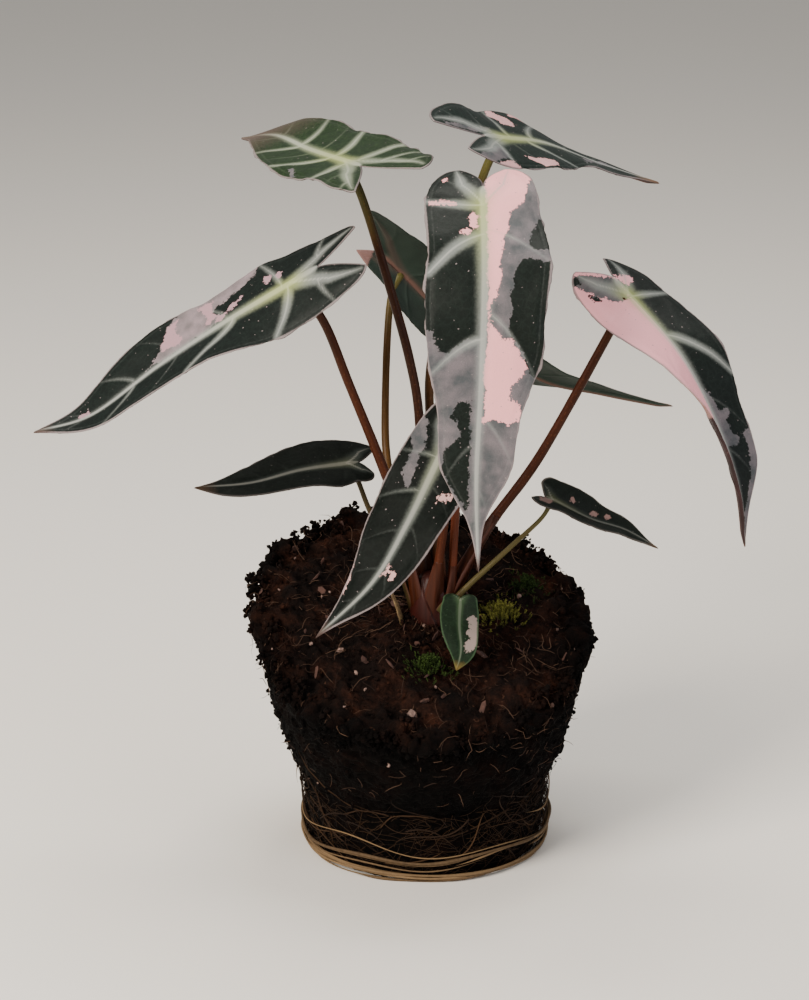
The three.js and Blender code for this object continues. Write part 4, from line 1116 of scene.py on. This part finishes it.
def make_peat():
    """The solid's surface on a fine grid, pushed along its normals by layered noise: lumps of
    14 mm and crumbs down to 1 mm, least under the roots and flat underneath."""
    around, rows = 320, 210
    angle = np.broadcast_to(2 * np.pi * np.arange(around) / around, (rows, around))
    along = np.broadcast_to(np.linspace(0, 0.995, rows)[:, None], (rows, around))
    base = ball_point(angle, along)
    d_angle = np.roll(base, -1, axis=1) - np.roll(base, 1, axis=1)
    d_along = np.gradient(base, axis=0)
    normal = unit(np.cross(d_angle, d_along))
    lumps = layered(base, 14, 3, 3)
    bits = layered(base, 4.5, 11, 3)
    fine = layered(base, 1.7, 23, 2)
    rough = smooth(0.02, 0.3, along)
    near_crown = smooth(0.97, 0.86, along)
    rim = np.exp(-(((along - RIM_AT) / 0.07) ** 2))
    amount = 0.3 + 0.35 * rough + 2.0 * rim + 0.7 * smooth(0.55, 0.7, along)
    push = amount * (lumps + 0.7 * bits) + 0.6 * fine
    push = push * mix(0.5, 1, near_crown) - 0.3 * (1 - rough)
    points = base + normal * push[..., None]
    points[0, :, 2] = 0
    points[..., 2] = np.maximum(points[..., 2], 0)
    flat = points.reshape(-1, 3)
    faces = grid_faces(rows, around, around=True)
    first = np.arange(around)
    last = (rows - 1) * around + first
    top = np.full(around, len(flat))
    bottom = top + 1
    caps = np.vstack([
        np.stack([last, np.roll(last, -1), top, top], -1),
        np.stack([np.roll(first, -1), first, bottom, bottom], -1),
    ])
    quads = np.vstack([faces, caps])
    flat = np.vstack([flat, points[-1].mean(0), (0, 0, 0)])
    triangles = np.vstack([quads[:, [0, 1, 2]], quads[:, [0, 2, 3]]])
    # The wall share marks where the peat finish paints shade on the ball's side.
    wall = np.append(smooth(0.66, 0.58, along).ravel(), (0, 1))
    flat, triangles, fields, _ = welded(flat, triangles, {"wall": wall})
    make_piece("peat", flat, triangles, [peat_finish("damp sphagnum peat")], ["peat_ball"],
               fields)


def on_ball(angle, along, out):
    """Points of the ball's surface at each angle and place along it, moved out along the normal,
    which comes from small steps both ways."""
    nudge = 0.004
    base = ball_point(angle, along)
    round_it = ball_point(angle + nudge, along) - ball_point(angle - nudge, along)
    up_it = ball_point(angle, along + nudge) - ball_point(angle, along - nudge)
    normal = unit(np.cross(round_it, up_it))
    return base + normal * np.asarray(out)[..., None]


def make_crumbs(rng):
    """Loose crumbs of peat lying on the top, over the rim and on the side, finer the more of them:
    radii go as 0.24 mm times e to the power of a random number up to 1.5. Ragged clods lie along
    the rim: knots of crumbs, spread by a millimetre."""
    count = 6400
    along = np.concatenate([rng.uniform(0.58, 0.99, count // 2), rng.normal(0.6, 0.05, count // 4),
                            rng.uniform(0.15, 0.62, count - count // 2 - count // 4)])
    angle = rng.uniform(0, 2 * np.pi, count)
    size = 0.24 * np.exp(rng.uniform(0, 1.5, count) * rng.uniform(0, 1, count))
    size *= 1 + 0.6 * np.exp(-(((along - RIM_AT) / 0.04) ** 2))
    shape, faces = lump()
    places = on_ball(angle, along, 0.6 + 0.5 * size)
    knots, each = 110, 22
    knot_along, knot_angle = rng.normal(0.605, 0.02, knots), rng.uniform(0, 2 * np.pi, knots)
    knot = np.repeat(on_ball(knot_angle, knot_along, rng.uniform(0, 2.2, knots)), each, axis=0)
    places = np.vstack([places, knot + rng.normal(0, 1.0, knot.shape).clip(-2.2, 2.2)])
    size = np.append(size, rng.uniform(0.35, 1.0, len(knot)))
    along = np.append(along, np.repeat(knot_along, each))
    count = len(places)
    stretch = size[:, None] * rng.uniform(0.6, 1.3, (count, 3))
    points, faces = scattered(shape, faces, places, stretch, rng)
    points[:, 2] = np.maximum(points[:, 2], 0)
    # Crumbs on the wall take the same painted shade as the peat's side.
    fields = {"wall": np.repeat(smooth(0.66, 0.58, along), len(shape))}
    make_piece("peat_crumbs", points, faces, [peat_finish("loose peat crumbs")],
               fields=fields, sharp=True)


def surface_lines(rng, count, along, reach, lift, steep, steps=8, end_lift=0.0):
    """Thin lines that follow the ball's surface: each starts at a random angle and a place in the
    range given, runs the reach in millimetres in a random direction with a slow bend, and its
    far end lifts off by the square of the share run."""
    t = np.linspace(0, 1, steps)
    start = rng.uniform(0, 2 * np.pi, count)[:, None]
    place = rng.uniform(*along, count)[:, None]
    length = rng.uniform(*reach, count)[:, None]
    heading = (rng.normal(0, steep, count) + np.pi * rng.integers(0, 2, count))[:, None]
    bend = rng.normal(0, 1.0, count)[:, None] * t
    bend = bend + rng.normal(0, 0.3, count)[:, None] * np.sin(5 * t + start)
    # The ball's mean radius, and the length of its whole profile, turn millimetres into shares.
    mean_radius, profile_length = 52, 145
    angle = start + length * np.cumsum(np.cos(heading + bend), axis=1) / steps / mean_radius
    spread = place + length * np.cumsum(np.sin(heading + bend), axis=1) / steps / profile_length
    out = rng.uniform(*lift, count)[:, None] + end_lift * rng.uniform(0, 1, count)[:, None] * t**2
    return on_ball(angle, np.clip(spread, 0.01, 0.99), out)


def make_fibres(rng):
    """Peat fibres, bark chips and grains of perlite that lie in and on the peat."""
    lines = np.concatenate([
        surface_lines(rng, 620, (0.58, 0.97), (3, 13), (0.5, 1.5), steep=1.5, end_lift=2.5),
        surface_lines(rng, 150, (0.3, 0.62), (2, 8), (0.3, 1.0), steep=1.5, end_lift=4),
    ])
    radii = rng.uniform(0.04, 0.12, len(lines))[:, None] * np.ones(lines.shape[1])
    points, faces = rods(lines, radii, 4, (0.3, 0.2, 0.93))
    shade = np.repeat(rng.uniform(0, 1, len(lines)), lines.shape[1] * 4)
    skin = strand_skin("dry peat fibre", "#20140f", "#5c4536")
    make_piece("peat_fibres", points, faces, [skin], fields={"shade": shade})
    shape, lump_faces = lump()
    count = 70
    along = np.concatenate([rng.uniform(0.6, 0.97, 55), rng.uniform(0.2, 0.58, 15)])
    places = on_ball(rng.uniform(0, 2 * np.pi, count), along, 0.5)
    size = rng.uniform(0.25, 0.85, (count, 1)) * rng.uniform(0.5, 1.3, (count, 3))
    size[:7] *= 2
    points, faces = scattered(shape, lump_faces, places, size, rng)
    finish = plain_grain("expanded perlite, stained", "#4a362f", "#94796e", 1.0, 0.9)
    make_piece("perlite", points, faces, [finish], sharp=True)
    count = 60
    places = on_ball(rng.uniform(0, 2 * np.pi, count), rng.uniform(0.6, 0.95, count), 0.9)
    size = rng.uniform(0.5, 1.0, (count, 1)) * np.array([3.0, 1.2, 0.5]) * rng.uniform(0.6, 1.3, (count, 3))
    points, faces = scattered(shape, lump_faces, places, size, rng)
    finish = plain_grain("chipped pine bark", "#26150f", "#503228", 2.5, 0.9)
    make_piece("bark_chips", points, faces, [finish], sharp=True)


def root_point(angle, height, out):
    """A place on the cone that the solids' roots lie on, pressed against the inside of the pot."""
    radius = ROOT["mat_radius"] + ROOT["flare"] * height + out
    return np.stack([radius * np.cos(angle), radius * np.sin(angle), np.maximum(height, 0.5)], -1)


def make_roots(rng):
    """Roots wound round the foot. Each of the solids' turns is a bundle of strands that sway about
    it and about each other, and finer strands climb the side between them."""
    steps = 150
    t = np.linspace(0, 1, steps)
    lines, radii, shades = [], [], []
    for height, sway, phase in ROOT_TURNS:
        for _ in range(6 if height < 8 else 1):
            start, span = rng.uniform(0, 2 * np.pi), rng.uniform(3.6, 6.9)
            angle = start + span * t
            rise = sway * np.sin(3 * angle + phase) * np.cos(2 * angle - phase)
            drift = rng.normal(0, 0.9) + rng.uniform(0.4, 1.2) * np.sin(rng.uniform(1, 3) * angle + start)
            out = 0.35 * np.sin(5 * angle + phase) + rng.uniform(-0.5, 0.5)
            out = out + 0.3 * np.sin(7 * angle + start)
            radius = rng.uniform(0.2, 0.5) if height < 8 else rng.uniform(0.16, 0.3)
            lines.append(root_point(angle, height + rise + drift, out))
            tapered = radius * smooth(0, 0.06, t) * smooth(1, 0.9, t)
            radii.append(tapered * (1 + 0.2 * np.sin(9 * angle + phase)) + 0.03)
            shades.append(rng.uniform(0.25, 1))
    points, faces = rods(np.array(lines), np.array(radii), 7, (0, 0, 1))
    points[:, 2] = np.maximum(points[:, 2], 0)
    shade = np.repeat(shades, steps * 7)
    make_piece("root_coils", points, faces, [strand_skin("dried root", "#33261a", "#776044")],
               ["root_mat"], {"shade": shade})
    climbs = surface_lines(rng, 70, (0.02, 0.2), (14, 46), (0.7, 1.4), steps=26, steep=0.6)
    thin = rng.uniform(0.08, 0.24, len(climbs))[:, None] * smooth(1, 0.7, np.linspace(0, 1, 26)) + 0.03
    haze = surface_lines(rng, 1000, (0.0, 0.2), (6, 22), (0.6, 1.3), steps=10, steep=0.45)
    finest = rng.uniform(0.06, 0.11, len(haze))[:, None] * np.ones(10)
    thick_points, thick_faces = rods(climbs, thin, 5, (0, 0, 1))
    fine_points, fine_faces = rods(haze, finest, 3, (0, 0, 1))
    points = np.vstack([thick_points, fine_points])
    points[:, 2] = np.maximum(points[:, 2], 0.1)
    faces = np.vstack([thick_faces, fine_faces + len(thick_points)])
    shade = np.concatenate([
        np.repeat(rng.uniform(0.1, 1, len(climbs)) ** 1.5, 26 * 5),
        np.repeat(rng.uniform(0, 0.7, len(haze)), 10 * 3),
    ])
    make_piece("root_hairs", points, faces, [strand_skin("fine side root", "#180e08", "#3f2b19")],
               fields={"shade": shade})


# Moss
def sprig():
    """One moss shoot 1 mm high along z: a three-sided stem with ten pointed leaflets in a spiral
    that open by 40 degrees and more, each a thin closed wedge of four faces."""
    points, faces = [], []

    def wedge(base, left, right, tip):
        start = len(points)
        points.extend([base, left, right, tip])
        for a, b, c in ((0, 1, 2), (0, 3, 1), (0, 2, 3), (1, 3, 2)):
            faces.append((start + a, start + b, start + c))

    for k in range(10):
        turn, height = 2.4 * k, 0.14 + 0.082 * k
        reach, tilt = 0.44 * (1 - 0.06 * k), math.radians(40 + 2 * k)
        out = np.array([math.cos(turn), math.sin(turn), 0])
        side = np.array([-math.sin(turn), math.cos(turn), 0])
        base = np.array([0, 0, height])
        tip = base + reach * (out * math.cos(tilt) + np.array([0, 0, math.sin(tilt)]))
        half = mix(base, tip, 0.45)
        wedge(base - np.array([0, 0, 0.05]), half + 0.085 * side, half - 0.085 * side, tip)
    foot = [np.array([0.05 * math.cos(turn), 0.05 * math.sin(turn), 0]) for turn in (0, 2.1, 4.2)]
    wedge(*foot, np.array([0, 0, 1.0]))
    return np.array(points), np.array(faces)


def make_moss(name, rng):
    """Moss shoots in the solid's pad, thickest in its middle, leaning outwards at its edge."""
    pad = MOSS_PADS[name]
    count = pad["shoots"]
    shape, shape_faces = sprig()
    spread = np.abs(rng.normal(0, 0.75, count)).clip(0, 2.3)
    turn = rng.uniform(0, 2 * np.pi, count)
    x = pad["place"][0] + pad["size"][0] * spread * np.cos(turn)
    y = pad["place"][1] + pad["size"][1] * spread * np.sin(turn)
    z = top_height(x, y) + pad["size"][2] * 0.35 * np.maximum(0, 1 - spread**2) - 0.3
    height = rng.uniform(2.2, 4.2, count) * mix(1, 0.6, np.clip(spread, 0, 1))
    lean = unit(np.stack([
        0.5 * spread * np.cos(turn) + rng.normal(0, 0.35, count),
        0.5 * spread * np.sin(turn) + rng.normal(0, 0.35, count),
        np.ones(count),
    ], -1))
    side = unit(np.cross(lean, rng.normal(size=(count, 3))))
    other = np.cross(lean, side)
    axes = np.stack([side, other, lean], 1) * height[:, None, None]
    points = np.einsum("kj,njd->nkd", shape, axes) + np.stack([x, y, z], -1)[:, None]
    faces = shape_faces[None] + (np.arange(count) * len(shape))[:, None, None]
    fields = {
        "shade": np.repeat(rng.uniform(0, 0.6, count), len(shape)) + 0.4 * np.tile(shape[:, 2], count),
    }
    skin = strand_skin(f"living moss {name}", *pad["colours"])
    make_piece(f"moss_{name}", points.reshape(-1, 3), faces.reshape(-1, 3), [skin],
               [f"moss_pad_{name}"], fields, sharp=True)


# Crown
def make_crown():
    """The leaf bases. The middle is the solid's turned core with five overlapping sheath edges that
    wind up it, each standing 0.8 mm proud. Round it every stalk's foot is a rod with a thin wing on
    each side that clasps inwards and dies away where the sheath ends."""
    around, rows = 150, 70
    radius, foot, top = CROWN["radius"], CROWN["foot"], CROWN["top"]
    profile = [(0, foot), (radius - 2.2, foot + 0.6), (radius - 0.5, foot + 3), (radius, foot + 9),
               (radius - 0.3, top - 12), (radius - 1.6, top - 6), (radius - 4, top - 1), (0, top)]
    line = on_curve(profile, np.linspace(0, 1, rows))
    turn = 2 * np.pi * np.arange(around) / around
    edge = (5 * turn / (2 * np.pi) + 0.045 * (line[:, 1:] - foot) + 0.4 * np.sin(turn)) % 1
    r = np.maximum(line[:, :1] + 0.8 * (edge - 0.6) * smooth(1, 5, line[:, :1]), 0)
    core = np.stack([
        CROWN["centre"][0] + r * np.cos(turn), CROWN["centre"][1] + r * np.sin(turn),
        np.broadcast_to(line[:, 1:], r.shape),
    ], -1).reshape(-1, 3)
    # The core's near-black red and the sheaths' tints, darker than the stalks and darkest at the foot, are
    # painted shade under the leaves over the skin's own dark red.
    tints = [np.tile(np.array(colour("#2a0f0b")[:3]), (len(core), 1))]
    rims = [smooth(0.9, 1.0, edge).ravel()]
    all_points, all_faces, start = [core], [grid_faces(rows, around, around=True)], len(core)
    sides, steps = 40, 60
    spokes = 2 * np.pi * np.arange(sides) / sides
    for name, stalk in STALKS.items():
        path = stalk_path(name)
        along = np.linspace(0, stalk["sheath"] + 1.5, steps)
        centres = path.at(along)
        r = stalk_radius(name, path, along) * 1.04
        share = np.clip(along / stalk["sheath"], 0, 1)
        wing = 1.15 * (1 - share) ** 0.6
        shape = 1 + wing[:, None] * np.abs(np.cos(spokes)) ** 14
        middle = path.at(stalk["sheath"] * 0.5)
        outward = unit(np.array([middle[0] - CROWN["centre"][0], middle[1] - CROWN["centre"][1], 0.01]))
        points, faces = rods(centres[None], r[None], sides, outward, shape)
        extent = ((shape - 1) * np.abs(np.cos(spokes)) * r[:, None]).reshape(-1, 1)
        points = points - outward * 0.35 * extent**1.5
        rise = np.repeat(along / path.length, sides)[:, None]
        # Sheath tints run from 0.35 of the foot colour up to 0.8 of the middle one: painted shade, deepest
        # at the foot.
        low, middle_tint, _ = (STALK_SHADE * np.array(colour(code)[:3]) for code in stalk["colours"])
        tints.append(mix(0.35 * low, 0.8 * middle_tint, np.clip(rise / 0.3, 0, 1)))
        rims.append((np.abs(np.cos(spokes)) ** 40 * (wing[:, None] > 0.15)).ravel())
        all_points.append(points)
        all_faces.append(faces + start)
        start += len(points)
    points, faces = np.vstack(all_points), np.vstack(all_faces)
    fields = {"tint": np.vstack(tints), "rim": np.concatenate(rims)}
    make_piece("leaf_bases", points, faces, [sheath_skin()], ["crown"], fields)


def make_scale():
    """The dry scale: the solid's hollow sheet with parallel ribs 0.12 mm high and a torn upper edge."""
    foot, tip = np.array(DRY_SCALE["foot"], float), np.array(DRY_SCALE["tip"], float)
    rows, columns = 60, 40
    share, across = np.meshgrid(np.linspace(-0.15, 1, rows), np.linspace(-0.5, 0.5, columns), indexing="ij")
    torn = 1 - 0.16 * np.abs(layered(np.stack([across * 9, across * 0, across * 0], -1), 1.3, 5))
    share = np.where(share > 0, share * torn, share)
    q = across * DRY_SCALE["width"] * (1 - 0.85 * np.clip(share, 0, 1) ** 2)
    middle = foot + (tip - foot) * share[..., None]
    middle[..., 0] -= DRY_SCALE["hollow"] * q * q + DRY_SCALE["bend"] * share**2 + 0.12 * np.sin(9 * q)
    middle[..., 1] += q
    rim = np.minimum(smooth(0.5, 0.44, np.abs(across)), smooth(1, 0.96, share / torn))
    rim = np.minimum(rim, smooth(-0.15, -0.1, share))
    offset = 0.2 * rim
    out = np.array([1, 0, 0]) * offset[..., None]
    both = [middle + out, middle - out]
    quads = grid_faces(rows, columns)
    points = np.concatenate([side.reshape(-1, 3) for side in both])
    quads = np.vstack([quads[:, ::-1], quads + rows * columns])
    points, faces, _, _ = welded(points, np.vstack([quads[:, [0, 1, 2]], quads[:, [0, 2, 3]]]), {})
    finish = plain_grain("dried scale leaf", "#4c3a24", "#8a7048", 3.0, 0.7)
    make_piece("papery_scale", points, faces, [finish], ["dry_scale"])


# Floor, light and camera
def set_stage():
    """A plain pale floor, three soft lights, an even pale sky and the photograph's camera."""
    half = FLOOR["half"]
    mesh = bpy.data.meshes.new("floor")
    corners = np.array([(-half, -half, 0), (half, -half, 0), (half, half, 0), (-half, half, 0)]) * MM
    mesh.from_pydata(corners.tolist(), [], [(0, 1, 2, 3)])
    floor = bpy.data.objects.new("floor", mesh)
    bpy.context.scene.collection.objects.link(floor)
    # Board with a rolled matt paint, which spreads the light evenly and shows no reflection.
    tree = new_tree("matt painted studio board")
    paint = add(tree, "RGB")
    paint.default_value = colour(FLOOR["colour"])
    mesh.materials.append(finish_of("matt painted studio board", paint, FLOOR["roughness"]))
    for name, light in LIGHTS.items():
        data = bpy.data.lights.new(name, "AREA")
        data.energy = light["watts"]
        data.size = light["size"] * MM
        data.color = colour(light["colour"])[:3]
        lamp = bpy.data.objects.new(name, data)
        place = np.array(light["place"], float)
        aim(lamp, place, TARGET)
    world = bpy.data.worlds.new("studio")
    bpy.context.scene.world = world
    world.use_nodes = True
    background = world.node_tree.nodes["Background"]
    background.inputs["Color"].default_value = colour(SKY["colour"])
    background.inputs["Strength"].default_value = SKY["strength"]
    pitch = math.radians(CAMERA["pitch"])
    back = np.array([0, -math.cos(pitch), math.sin(pitch)])
    data = bpy.data.cameras.new("camera")
    data.lens = CAMERA["lens"]
    camera = bpy.data.objects.new("camera", data)
    aim(camera, TARGET + back * CAMERA["distance"], TARGET)
    bpy.context.scene.camera = camera


def aim(thing, place, target):
    """Puts a light or camera at a place in millimetres, looking at the target."""
    thing.location = Vector(place) * MM
    thing.rotation_mode = "QUATERNION"
    thing.rotation_quaternion = Vector(target - place).to_track_quat("-Z", "Y")
    bpy.context.scene.collection.objects.link(thing)


# Making
set_stage()
for name in LEAVES:
    make_blade(name)
for name in STALKS:
    make_stalk(name)
make_crown()
make_scale()
make_peat()
rng = np.random.default_rng(SEED)
make_crumbs(rng)
make_fibres(rng)
make_roots(rng)
for name in MOSS_PADS:
    make_moss(name, rng)
